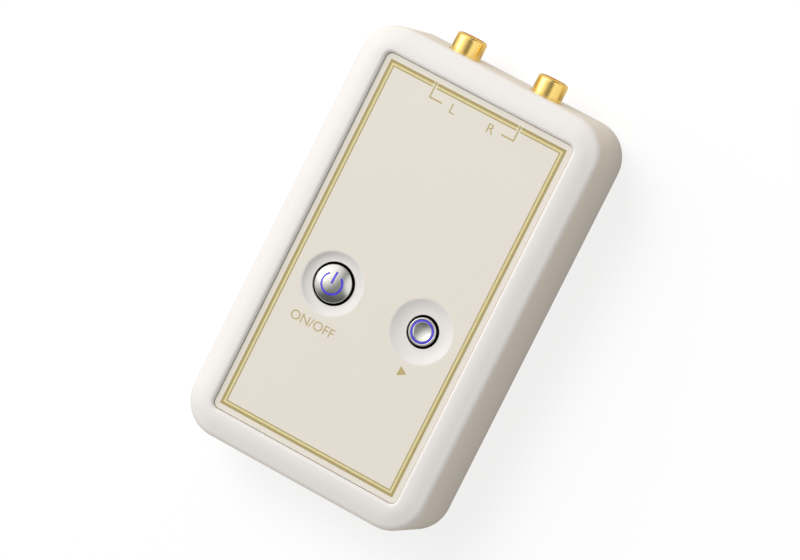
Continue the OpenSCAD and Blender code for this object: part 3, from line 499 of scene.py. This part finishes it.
def seal(piece):
    """Merges doubles, turns the faces outwards, and leaves edit mode with smooth shading."""
    bpy.ops.mesh.select_mode(type="VERT")
    bpy.ops.mesh.select_all(action="SELECT")
    bpy.ops.mesh.remove_doubles(threshold=SAME)
    bpy.ops.mesh.normals_make_consistent(inside=False)
    mode("OBJECT")
    bpy.ops.object.shade_smooth_by_angle(angle=SMOOTH)


def modify(piece, kind, **settings):
    """Adds a modifier to the active piece in object mode, sets it up and applies it."""
    modifier = piece.modifiers.new(kind.lower(), kind)
    for name, value in settings.items():
        setattr(modifier, name, value)
    bpy.ops.object.modifier_apply(modifier=modifier.name)
    if not piece.data.polygons:
        raise RuntimeError(f"{kind.lower()} left nothing of {piece.name}")


def arc(centre, radius, start, end, steps):
    """Points of an arc in an outline, between two angles from straight out, in degrees."""
    turns = [math.radians(start + (end - start) * i / steps) for i in range(steps + 1)]
    return [(centre[0] + radius * math.cos(t), centre[1] + radius * math.sin(t)) for t in turns]


def drawn(name, outline, foot, axis, closed, out):
    """Draws an outline of points (distance from an axis, height along it) on one side of the axis."""
    spots = [foot + out * far + axis * up for far, up in outline]
    piece = begin(name, bpy.ops.mesh.primitive_plane_add, size=MM, location=spots[0])
    bpy.ops.mesh.select_mode(type="VERT")
    bpy.ops.mesh.merge(type="CENTER")
    for here, there in zip(spots, spots[1:]):
        bpy.ops.mesh.extrude_region_move(TRANSFORM_OT_translate={"value": there - here})
    if closed:
        ends = (spots[0], spots[-1])
        select(piece, "vertices", lambda p: min((p - e).length for e in ends) < SAME)
        bpy.ops.mesh.edge_face_add()
    bpy.ops.mesh.select_all(action="SELECT")
    return piece


def turned(name, outline, foot, axis=UP, closed=False, steps=96, out=RIGHT):
    """Spins an outline once round its axis; an open one begins and ends on the axis."""
    piece = drawn(name, outline, foot, axis, closed, out)
    bpy.ops.mesh.spin(steps=steps, angle=FULL_TURN, center=foot, axis=axis)
    seal(piece)
    return piece


def activate(piece):
    """Makes a piece the active one and the only one in the selection."""
    bpy.ops.object.select_all(action="DESELECT")
    piece.select_set(True)
    bpy.context.view_layer.objects.active = piece


def cut(piece, tool, operation="DIFFERENCE"):
    """Takes a tool's shape out of a piece, or keeps what they share or joins them; removes the tool."""
    activate(piece)
    modify(piece, "BOOLEAN", object=tool, operation=operation, solver="EXACT")
    bpy.data.objects.remove(tool)
    bpy.ops.object.shade_smooth_by_angle(angle=SMOOTH)


def copied(piece, name, step):
    """Copies a finished piece with a mesh of its own, moved by a step."""
    activate(piece)
    bpy.ops.object.duplicate()
    copy = bpy.context.object
    copy.name = copy.data.name = name
    mode("EDIT")
    bpy.ops.mesh.select_all(action="SELECT")
    bpy.ops.transform.translate(value=step)
    mode("OBJECT")
    return copy


def place(piece, material, body, slot, *stands_for):
    """Gives a finished piece its material and its body, and hides the CAD nodes that it stands for; the slot
    is not used.
    """
    piece.data.materials.clear()
    piece.data.materials.append(material)
    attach(piece, body)
    if stands_for:
        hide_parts(*stands_for)


class DEMAG_OT_stage(bpy.types.Operator):
    """Builds the floor, the room, the soft lamp and the camera at the photograph's angle"""
    bl_idname = "demag.stage"
    bl_label = "Stage"

    def execute(self, context):
        looks = context.scene.demag_stage
        scene = context.scene
        scene.view_settings.view_transform = "Standard"
        self.add_camera(scene)
        self.add_lamp(scene, looks)
        self.add_room(scene, looks)
        self.add_floor(looks)
        return {"FINISHED"}

    def add_camera(self, scene):
        camera = bpy.data.objects.new("camera", bpy.data.cameras.new("camera"))
        scene.collection.objects.link(camera)
        back = (CAMERA_SPOT - CAMERA_AIM).normalized()
        level_y = (REAR - back * REAR.dot(back)).normalized()
        level_x = level_y.cross(back)
        up = level_y * math.cos(CAMERA_LEAN) - level_x * math.sin(CAMERA_LEAN)
        turn = Matrix((up.cross(back), up, back)).transposed()
        camera.matrix_world = Matrix.Translation(CAMERA_SPOT) @ turn.to_4x4()
        camera.data.lens = LENS_MM
        camera.data.sensor_width = SENSOR_MM
        scene.camera = camera

    def add_lamp(self, scene, looks):
        lamp = bpy.data.objects.new("key_lamp", bpy.data.lights.new("key_lamp", "AREA"))
        scene.collection.objects.link(lamp)
        lamp.location = KEY_WAY * looks.key_distance
        lamp.rotation_mode = "QUATERNION"
        lamp.rotation_quaternion = KEY_WAY.to_track_quat("Z", "Y")
        lamp.data.size = looks.key_size
        lamp.data.energy = looks.key_power
        # Metal mirrors the room's broad window instead of this lamp
        lamp.visible_glossy = False

    def add_room(self, scene, looks):
        """White to the camera; a broad window at the left, a pale right side and a dark front in metal."""
        room = bpy.data.worlds.new("room")
        room.use_nodes = True
        scene.world = room
        tree = room.node_tree
        ray = node(tree, "LightPath")
        way = node(tree, "TexCoord").outputs["Generated"]
        mirrored = looks.gloom
        parts = []
        for (towards, start, end), shine in ((WINDOW, looks.window), (CEILING, looks.ceiling),
                                             (RIGHT_SIDE, looks.side), (WINDOW_CORE, looks.core)):
            facing = node(tree, "VectorMath", {
                0: way, 1: Vector(towards).normalized()}, operation="DOT_PRODUCT")
            part = node(tree, "MapRange", {
                "Value": facing, "From Min": start, "From Max": end}, interpolation_type="SMOOTHSTEP")
            parts.append(part)
            mirrored = node(tree, "Math", {0: part, 1: shine, 2: mirrored}, operation="MULTIPLY_ADD")
        # Plastics get only the window and the even light
        soft = node(tree, "Math", {0: parts[0], 1: looks.glow, 2: looks.ambient}, operation="MULTIPLY_ADD")
        lit = node(tree, "Mix", {SHARE: ray.outputs["Is Diffuse Ray"], "A": mirrored, "B": soft})
        shown = node(tree, "Math", {0: ray.outputs["Is Camera Ray"], 1: lit}, operation="MAXIMUM")
        fill(tree, tree.nodes["Background"], {"Strength": shown, "Color": (1, 1, 1, 1)})

    def add_floor(self, looks):
        spot = (0, 0, -FLOOR_DROP)
        floor = begin("floor", bpy.ops.mesh.primitive_plane_add, size=FLOOR_SIDE, location=spot)
        bpy.ops.mesh.subdivide(number_cuts=FLOOR_CUTS)
        mode("OBJECT")
        floor.data.materials.append(pale_floor(looks))


class DEMAG_OT_case(bpy.types.Operator):
    """Dresses the two halves of the case, the battery door and the inlaid panel"""
    bl_idname = "demag.case"
    bl_label = "Case and panel"

    def execute(self, context):
        looks = context.scene.demag_case
        # ABS from a finely eroded mould: satin gloss, soft highlights along the rounds
        ivory = moulded("moulded_abs_ivory", looks.ivory, looks.rough, looks.grain / MM,
                        constants={"IOR": 1.53, "Specular IOR Level": 0.4})
        dress(ivory, "upper_case", "back_cover", "battery_door")
        dress(painted_panel(looks), "front_panel")
        return {"FINISHED"}


class DEMAG_OT_print(bpy.types.Operator):
    """Prints the panel: a border of three lines, the jack brackets and plain signs"""
    bl_idname = "demag.print"
    bl_label = "Printed lines and signs"

    # Radius of the start sign's triangle as a share of the signs' height
    TRIANGLE = 0.62

    def execute(self, context):
        sizes = context.scene.demag_print
        gold = metal_ink("gold_screen_ink", sizes.gold)
        pale = metal_ink("pale_gold_screen_ink", sizes.tint)
        soft = metal_ink("soft_gold_screen_ink", sizes.soft_gold)
        inset = 0
        for name, width, ink in (("outer_line", sizes.line, gold), ("pale_band", sizes.band, pale),
                                 ("inner_line", sizes.hairline, gold)):
            self.add_line("border_" + name, inset, width, ink, sizes)
            inset += width
        for name, side in (("left", -1), ("right", 1)):
            self.add_bracket(name + "_bracket", side, soft, sizes)
        power, start = middle("power_cap"), middle("start_cap_rim")
        row = power.y - sizes.sign_drop
        jack_row = sizes.bracket_y + sizes.bracket_line / 2
        self.add_words("power_sign", sizes.power_sign, (power.x, row), soft, sizes)
        self.add_words("left_sign", "L", (-sizes.sign_x, jack_row), soft, sizes)
        self.add_words("right_sign", "R", (sizes.sign_x, jack_row), soft, sizes)
        self.add_pointer("start_sign", (start.x, row), soft, sizes)
        return {"FINISHED"}

    def add_line(self, name, inset, width, ink, sizes):
        """One line of the border, broken where the brackets cross it."""
        stretch = (sizes.half_width - inset, sizes.half_length - inset, 1)
        piece = begin(name, bpy.ops.mesh.primitive_plane_add, stretch, size=2, location=(0, 0, PANEL_Z))
        select(piece, "polygons", lambda p: True)
        bpy.ops.mesh.inset(thickness=width, use_even_offset=True)
        bpy.ops.mesh.delete(type="FACE")
        at, half = sizes.bracket_x, sizes.bracket_break
        for x in (-at - half, -at + half, at - half, at + half):
            bpy.ops.mesh.select_all(action="SELECT")
            bpy.ops.mesh.bisect(plane_co=(x, 0, 0), plane_no=RIGHT)
        select(piece, "polygons", lambda p: p.y > 0 and abs(abs(p.x) - at) < half)
        bpy.ops.mesh.delete(type="FACE")
        self.finish(piece, ink, sizes)

    def add_bracket(self, name, side, ink, sizes):
        """A bar with a foot turned inwards, and a dot at its top in the border's break."""
        top = sizes.half_length - sizes.line / 2
        wide, half = sizes.bracket_line, sizes.bracket_line / 2
        x = side * sizes.bracket_x
        long = top - sizes.dot - sizes.bracket_y
        piece = begin(name, bpy.ops.mesh.primitive_plane_add, (wide, long, 1), size=1,
                      location=(x, sizes.bracket_y + long / 2, PANEL_Z))
        bpy.ops.mesh.bisect(plane_co=(0, sizes.bracket_y + wide, 0), plane_no=REAR)
        foot = Vector((x - side * half, sizes.bracket_y + half, PANEL_Z))
        select(piece, "edges", lambda p: (p - foot).length < half / 4)
        bpy.ops.mesh.extrude_region_move(TRANSFORM_OT_translate={"value": (-side * sizes.bracket_in, 0, 0)})
        bpy.ops.mesh.primitive_circle_add(
            vertices=32, radius=sizes.dot, fill_type="NGON", location=(x, top, PANEL_Z))
        self.finish(piece, ink, sizes)

    def add_words(self, name, words, spot, ink, sizes):
        bpy.ops.object.select_all(action="DESELECT")
        bpy.ops.object.text_add()
        text = bpy.context.object
        text.data.body = words
        text.data.align_x = text.data.align_y = "CENTER"
        bpy.ops.object.convert(target="MESH")
        piece = bpy.context.object
        piece.name = piece.data.name = name
        mode("EDIT")
        bpy.ops.mesh.select_all(action="SELECT")
        heights = [v.co.y for v in piece.data.vertices]
        bottom, top = min(heights), max(heights)
        bpy.ops.transform.translate(value=(0, -(top + bottom) / 2, 0))
        growth = sizes.letter / (top - bottom)
        bpy.ops.transform.resize(value=(growth, growth, growth), center_override=(0, 0, 0))
        bpy.ops.transform.translate(value=(*spot, PANEL_Z))
        self.finish(piece, ink, sizes)

    def add_pointer(self, name, spot, ink, sizes):
        """A plain triangle that points to the right, with rounded corners."""
        piece = begin(name, bpy.ops.mesh.primitive_circle_add, vertices=3, fill_type="NGON",
                      radius=sizes.letter * self.TRIANGLE, location=(*spot, PANEL_Z),
                      rotation=(0, 0, -math.pi / 2))
        bpy.ops.mesh.bevel(offset=sizes.corner, segments=4, affect="VERTICES")
        self.finish(piece, ink, sizes)

    def finish(self, piece, ink, sizes):
        """Gives a flat piece in edit mode the ink's thickness, half of it above the panel."""
        bpy.ops.mesh.select_all(action="SELECT")
        bpy.ops.mesh.normals_make_consistent(inside=False)
        mode("OBJECT")
        modify(piece, "SOLIDIFY", thickness=sizes.film, offset=0)
        mode("EDIT")
        seal(piece)
        place(piece, ink, "case", "gilt_brass")


class DEMAG_OT_power_button(bpy.types.Operator):
    """Models the domed power cap with its open symbol, and lights the guide that shows in it"""
    bl_idname = "demag.power_button"
    bl_label = "Power button"

    # Round on the cap's foot, and how far the symbol's block goes past both faces of the dome
    ROUND, PAST = 0.15 * MM, 0.2 * MM

    def execute(self, context):
        looks = context.scene.demag_buttons
        low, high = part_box("power_cap")
        foot = middle("power_cap")
        foot.z = 0
        radius = (high.x - low.x) / 2
        dome = (radius ** 2 + looks.dome ** 2) / (2 * looks.dome)
        heart = high.z - dome
        round_r = radius - looks.edge
        round_z = heart + math.sqrt((dome - looks.edge) ** 2 - round_r ** 2)
        lean = math.degrees(math.atan2(round_z - heart, round_r))
        top = arc((0, heart), dome, 90, lean, 28)
        roof = high.z - looks.dome - looks.web
        inner = radius - looks.wall
        outline = (top + arc((round_r, round_z), looks.edge, lean, 0, 8)[1:]
                   + arc((radius - self.ROUND, low.z + self.ROUND), self.ROUND, 0, -90, 4)
                   + [(inner, low.z), (inner, roof), (0, roof)])
        cap = turned("power_cap_turned", outline, foot, steps=128)
        reach = (roof - self.PAST, high.z + self.PAST)
        cut(cap, self.symbol(looks, foot, *reach, looks.stroke + 2 * looks.slack))
        # Zinc under satin chrome: a soft, slightly hazy mirror
        chrome = plated("satin_chrome_plate", looks.chrome, 0.22)
        place(cap, chrome, "power_button", "bright_metal", "power_cap")
        guide = self.symbol(looks, foot, *reach, looks.stroke)
        whole = top + [(round_r, low.z), (0, low.z)]
        cut(guide, turned("dome_tool", whole, foot, steps=128), "INTERSECT")
        low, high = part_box("power_light_guide")
        wide = (high.x - low.x) / 2
        disc = roof - looks.disc
        stem = [(0, low.z), (looks.stem, low.z), (looks.stem, disc), (wide, disc), (wide, roof), (0, roof)]
        cut(guide, turned("stem_tool", stem, foot), "UNION")
        guide.name = guide.data.name = "power_guide_lit"
        lit = lit_acrylic("lit_blue_acrylic", looks.light, looks.glow)
        place(guide, lit, "power_button", "blue_light_guide", "power_light_guide")
        return {"FINISHED"}

    def symbol(self, looks, foot, low, high, stroke):
        """Block in the symbol's form: a ring that is open to the rear, and a bar through the opening."""
        half_turn = looks.opening / 2
        out = Vector((math.sin(half_turn), math.cos(half_turn), 0))
        inner, outer = looks.symbol - stroke / 2, looks.symbol + stroke / 2
        tool = drawn("symbol_tool", [(inner, low), (outer, low), (outer, high), (inner, high)],
                     foot, UP, True, out)
        bpy.ops.mesh.edge_face_add()
        bpy.ops.mesh.spin(steps=72, angle=FULL_TURN - looks.opening, center=foot, axis=UP)
        bar_l = looks.symbol + stroke
        bar = foot + Vector((0, bar_l / 2, (low + high) / 2))
        bpy.ops.mesh.select_all(action="DESELECT")
        bpy.ops.mesh.primitive_cube_add(size=1, location=bar)
        bpy.ops.transform.resize(value=(stroke, bar_l, high - low), center_override=bar)
        seal(tool)
        return tool


class DEMAG_OT_start_button(bpy.types.Operator):
    """Models the start button's rim and hollowed centre, and lights the ring between them"""
    bl_idname = "demag.start_button"
    bl_label = "Start button"

    # Rounds of the rim as a share of its width, with a narrow flat between them
    RIM_ROUND = 0.4
    # Rounds on the lit ring's edges and on the edge of the hollow
    RING_ROUND, HOLLOW_ROUND = 0.08 * MM, 0.12 * MM

    def execute(self, context):
        looks = context.scene.demag_buttons
        chrome = bpy.data.materials["satin_chrome_plate"]
        foot = middle("start_cap_rim")
        foot.z = 0
        low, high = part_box("start_cap_rim")
        outer = (high.x - low.x) / 2
        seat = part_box("start_cap_centre")[0].z
        guide_low, guide_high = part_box("start_light_guide")
        inner = (guide_high.x - guide_low.x) / 2
        lip = looks.ring_outer + looks.slack
        soft = (outer - lip) * self.RIM_ROUND
        outline = ([(inner, low.z), (outer, low.z)] + arc((outer - soft, high.z - soft), soft, 0, 90, 8)
                   + arc((lip + soft, high.z - soft), soft, 90, 180, 8) + [(lip, seat), (inner, seat)])
        rim = turned("start_rim_turned", outline, foot, closed=True)
        place(rim, chrome, "start_button", "bright_metal", "start_cap_rim")
        edge = self.RING_ROUND
        side, top = inner - looks.slack, high.z - edge
        disc, deck = seat - looks.disc, seat - looks.slack
        outline = ([(0, guide_low.z), (looks.stem, guide_low.z), (looks.stem, disc), (side, disc),
                    (side, deck), (looks.ring_outer, deck)]
                   + arc((looks.ring_outer - edge, top), edge, 0, 90, 4)
                   + arc((looks.ring_inner + edge, top), edge, 90, 180, 4)
                   + [(looks.ring_inner, deck), (0, deck)])
        guide = turned("start_guide_lit", outline, foot)
        lit = bpy.data.materials["lit_blue_acrylic"]
        place(guide, lit, "start_button", "blue_light_guide", "start_light_guide")
        low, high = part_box("start_cap_centre")
        radius = looks.ring_inner - looks.slack
        hollow = (radius ** 2 + looks.hollow ** 2) / (2 * looks.hollow)
        edge = self.HOLLOW_ROUND
        lean = math.degrees(math.asin((radius - 2 * edge) / hollow))
        bowl = (0, high.z - looks.hollow + hollow)
        outline = ([(0, low.z), (radius, low.z)] + arc((radius - edge, high.z - edge), edge, 0, 90, 5)
                   + arc(bowl, hollow, lean - 90, -90, 20))
        centre = turned("start_centre_turned", outline, foot)
        place(centre, chrome, "start_button", "bright_metal", "start_cap_centre")
        return {"FINISHED"}


class DEMAG_OT_jacks(bpy.types.Operator):
    """Dresses the phono jacks, and models their slit centre contacts"""
    bl_idname = "demag.jacks"
    bl_label = "Jacks"

    # A centre contact's wall, closed end and round, and how far the slits' tools go past its mouth
    WALL, BACK, ROUND, PAST = 0.4 * MM, 1 * MM, 0.15 * MM, 1 * MM

    def execute(self, context):
        looks = context.scene.demag_jacks
        # Turned brass under bright gold: sharp warm reflections, broken by the lathe's rings
        gold = plated("gold_plated_brass", looks.gold, 0.15, looks.turning / MM)
        # Nylon: pale, waxy and dull
        nylon = moulded("moulded_nylon_white", looks.nylon, 0.45, constants={"IOR": 1.53})
        for side in ("left", "right"):
            dress(gold, side + "_jack_shell")
            dress(nylon, side + "_jack_insulator")
        left = self.contact(looks)
        apart = middle("right_jack_contact") - middle("left_jack_contact")
        right = copied(left, "right_jack_contact_turned", apart)
        place(left, gold, "case", "gilt_brass", "left_jack_contact")
        place(right, gold, "case", "gilt_brass", "right_jack_contact")
        return {"FINISHED"}

    def contact(self, looks):
        """The left jack's contact: a tube, closed at its back and slit at its mouth to spring on a pin."""
        low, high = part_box("left_jack_contact")
        foot = middle("left_jack_contact")
        foot.y = low.y
        outer = (high.x - low.x) / 2
        inner = outer - self.WALL
        soft = self.ROUND
        mouth = high.y - low.y - soft
        outline = ([(0, 0), (outer, 0)] + arc((outer - soft, mouth), soft, 0, 90, 5)
                   + arc((inner + soft, mouth), soft, 90, 180, 5) + [(inner, self.BACK), (0, self.BACK)])
        contact = turned("left_jack_contact_turned", outline, foot, REAR, steps=64)
        deep, wide = looks.slit_depth + self.PAST, 3 * outer
        spot = Vector((foot.x, high.y + self.PAST - deep / 2, foot.z))
        for size in ((looks.slit, deep, wide), (wide, deep, looks.slit)):
            tool = begin("slit_tool", bpy.ops.mesh.primitive_cube_add, size, size=1, location=spot)
            seal(tool)
            cut(contact, tool)
        return contact


class DEMAG_OT_screws(bpy.types.Operator):
    """Models one round-headed case screw and copies it to the four corners"""
    bl_idname = "demag.screws"
    bl_label = "Screws"

    # The cross's length and width as shares of the head's radius, and its size at its bottom
    WING, GROOVE, TAPER = 1.1, 0.3, 0.7
    # Length of the tapered tip, and the radius at its end
    TIP, TIP_RADIUS = 1.5 * MM, 0.3 * MM

    def execute(self, context):
        looks = context.scene.demag_screws
        # Steel under bright zinc: grey, slightly bluish and cloudy
        zinc = plated("zinc_plated_steel", looks.zinc, 0.32)
        dress(zinc, "board_screws")
        low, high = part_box("case_screws")
        head, shank = looks.head_radius, looks.shank_radius
        long = high.z - low.z
        corner = Vector((low.x + head, low.y + head, low.z))
        outline = ([(0, 0)] + arc((head - looks.crown, looks.crown), looks.crown, -90, 0, 8)
                   + [(head, looks.head), (shank, looks.head), (shank, long - self.TIP),
                      (self.TIP_RADIUS, long), (0, long)])
        screw = turned("case_screw_1", outline, corner, steps=64)
        wing, groove = head * self.WING, head * self.GROOVE
        for wide, deep in ((wing, groove), (groove, wing)):
            tool = begin("cross_tool", bpy.ops.mesh.primitive_cube_add, (wide, deep, 2 * looks.recess),
                         size=1, location=corner)
            select(tool, "polygons", lambda p: p.z > corner.z + looks.recess / 2)
            bpy.ops.transform.resize(value=(self.TAPER, self.TAPER, 1), center_override=corner)
            seal(tool)
            cut(screw, tool)
        across, along = high.x - low.x - 2 * head, high.y - low.y - 2 * head
        steps = ((across, 0, 0), (0, along, 0), (across, along, 0))
        others = [copied(screw, f"case_screw_{number}", step) for number, step in enumerate(steps, start=2)]
        for piece in (screw, *others):
            place(piece, zinc, "case", "screw_steel", "case_screws")
        return {"FINISHED"}


class DEMAG_OT_battery(bpy.types.Operator):
    """Models the battery: a jacket with rolled ends, and its two terminals"""
    bl_idname = "demag.battery"
    bl_label = "Battery"

    # Outlines of the terminals: distance from the axis and height, in millimetres
    STUD = ((0, 0), (2.9, 0), (2.9, 0.6), (2.1, 0.9), (2.1, 1.8), (2.5, 2.3), (2.5, 2.6), (2.2, 2.9),
            (0, 2.9))
    SOCKET = ((0, 0), (2.9, 0), (2.9, 2.3), (2.7, 2.8), (2.4, 2.9), (2.3, 2.7), (2.4, 1), (0, 1))
    # Slope, height and round of the rolled ends
    STEP, HEIGHT, ROUND = 0.15 * MM, 0.5 * MM, 0.2 * MM

    def execute(self, context):
        looks = context.scene.demag_battery
        low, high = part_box("battery")
        end = high.x - looks.terminal
        size = Vector((end - low.x, high.y - low.y, high.z - low.z))
        heart = Vector(((low.x + end) / 2, *((low + high) / 2).yz))
        can = begin("battery_jacket", bpy.ops.mesh.primitive_cube_add, size, size=1, location=heart)
        select(can, "edges", lambda p: abs(p.x - heart.x) < MM)
        bpy.ops.mesh.bevel(offset=looks.edge, segments=8)
        select(can, "polygons", lambda p: abs(p.x - heart.x) > size.x / 2 - SAME)
        bpy.ops.mesh.inset(thickness=looks.crimp, depth=0, use_individual=True)
        bpy.ops.mesh.inset(thickness=self.STEP, depth=-self.HEIGHT, use_individual=True)
        mode("OBJECT")
        modify(can, "BEVEL", width=self.ROUND, segments=3, limit_method="ANGLE")
        mode("EDIT")
        seal(can)
        place(can, battery_steel(looks, low.x, end), "case", "battery_jacket", "battery")
        # Steel under bright nickel: a warm, slightly hazy mirror
        nickel = plated("nickel_plated_steel", looks.nickel, 0.22)
        for name, outline, side in (("battery_stud", self.STUD, -1), ("battery_socket", self.SOCKET, 1)):
            foot = Vector((end, heart.y + side * size.y / 4, heart.z))
            points = [(far * MM, up * MM) for far, up in outline]
            piece = turned(name, points, foot, RIGHT, steps=48, out=REAR)
            place(piece, nickel, "case", "screw_steel", "battery")
        return {"FINISHED"}


class DEMAG_OT_inside(bpy.types.Operator):
    """Dresses the board and what stands on it, the switches, the leads and the snap"""
    bl_idname = "demag.inside"
    bl_label = "Inner pieces"

    def execute(self, context):
        looks = context.scene.demag_inside
        # Solder mask over glass cloth: glossy green with the weave's faint relief
        dress(moulded("solder_mask_green", looks.mask, 0.28, grain_mm=0.5, depth_mm=0.01, spread=0.08,
                      constants={"IOR": 1.55}), "circuit_board")
        # Glass-filled nylon from a spark-eroded mould: black and dull
        nylon = moulded("moulded_nylon_black", looks.black, 0.5, grain_mm=0.2, depth_mm=0.01, spread=0.1,
                        constants={"IOR": 1.53})
        dress(nylon, "power_plunger", "start_plunger", "power_switch", "start_switch",
              "left_jack_housing", "right_jack_housing", "battery_snap")
        # Filled epoxy: nearly black, with a dusty sheen
        dress(moulded("moulded_epoxy_black", looks.chip, 0.6, grain_mm=0.12, depth_mm=0.008, spread=0.15),
              "controller_chip", "amplifier_chip")
        # Nylon header: pale and waxy
        dress(bpy.data.materials["moulded_nylon_white"], "lead_header")
        # Extruded PVC: soft gloss
        for name, tone in (("red", looks.red), ("black", looks.black)):
            lead = moulded("extruded_pvc_" + name, tone, 0.4, grain_mm=0.4, depth_mm=0.01, spread=0.06,
                           constants={"IOR": 1.54})
            dress(lead, "battery_lead_" + name)
        # Dipped lacquer with painted rings
        dress(ringed("lacquered_resistor_tan", looks.resistor, looks.stripe, pitch_mm=1.4, share=0.35,
                     rough=0.3), "resistors")
        # Shrunk vinyl sleeve with a pale mark
        dress(ringed("shrunk_vinyl_blue", looks.sleeve, looks.resistor, pitch_mm=9, share=0.12,
                     rough=0.3), "capacitors")
        # Cast epoxy round a lit die
        buttons = context.scene.demag_buttons
        dress(lit_acrylic("lit_blue_epoxy", buttons.light, buttons.glow), "power_led", "start_led")
        return {"FINISHED"}


class DEMAG_PT_panel(bpy.types.Panel):
    bl_label = "Demagnetizer"
    bl_idname = "DEMAG_PT_panel"
    bl_space_type = "VIEW_3D"
    bl_region_type = "UI"
    bl_category = "Demagnetizer"

    def draw(self, context):
        for step in STEPS:
            self.layout.operator(step.bl_idname)


GROUPS = {
    "demag_stage": StageLooks, "demag_case": CaseLooks, "demag_print": PrintSizes,
    "demag_buttons": ButtonLooks, "demag_jacks": JackLooks, "demag_screws": ScrewLooks,
    "demag_battery": BatteryLooks, "demag_inside": InsideLooks,
}
STEPS = (
    DEMAG_OT_stage, DEMAG_OT_case, DEMAG_OT_print, DEMAG_OT_power_button, DEMAG_OT_start_button,
    DEMAG_OT_jacks, DEMAG_OT_screws, DEMAG_OT_battery, DEMAG_OT_inside,
)


def register():
    for name, group in GROUPS.items():
        bpy.utils.register_class(group)
        setattr(bpy.types.Scene, name, PointerProperty(type=group))
    for kind in (*STEPS, DEMAG_PT_panel):
        bpy.utils.register_class(kind)


def unregister():
    for kind in (DEMAG_PT_panel, *reversed(STEPS)):
        bpy.utils.unregister_class(kind)
    for name, group in reversed(GROUPS.items()):
        delattr(bpy.types.Scene, name)
        bpy.utils.unregister_class(group)


def main():
    register()
    for step in STEPS:
        area, action = step.bl_idname.split(".")
        getattr(getattr(bpy.ops, area), action)()


if __name__ == "__main__":
    main()
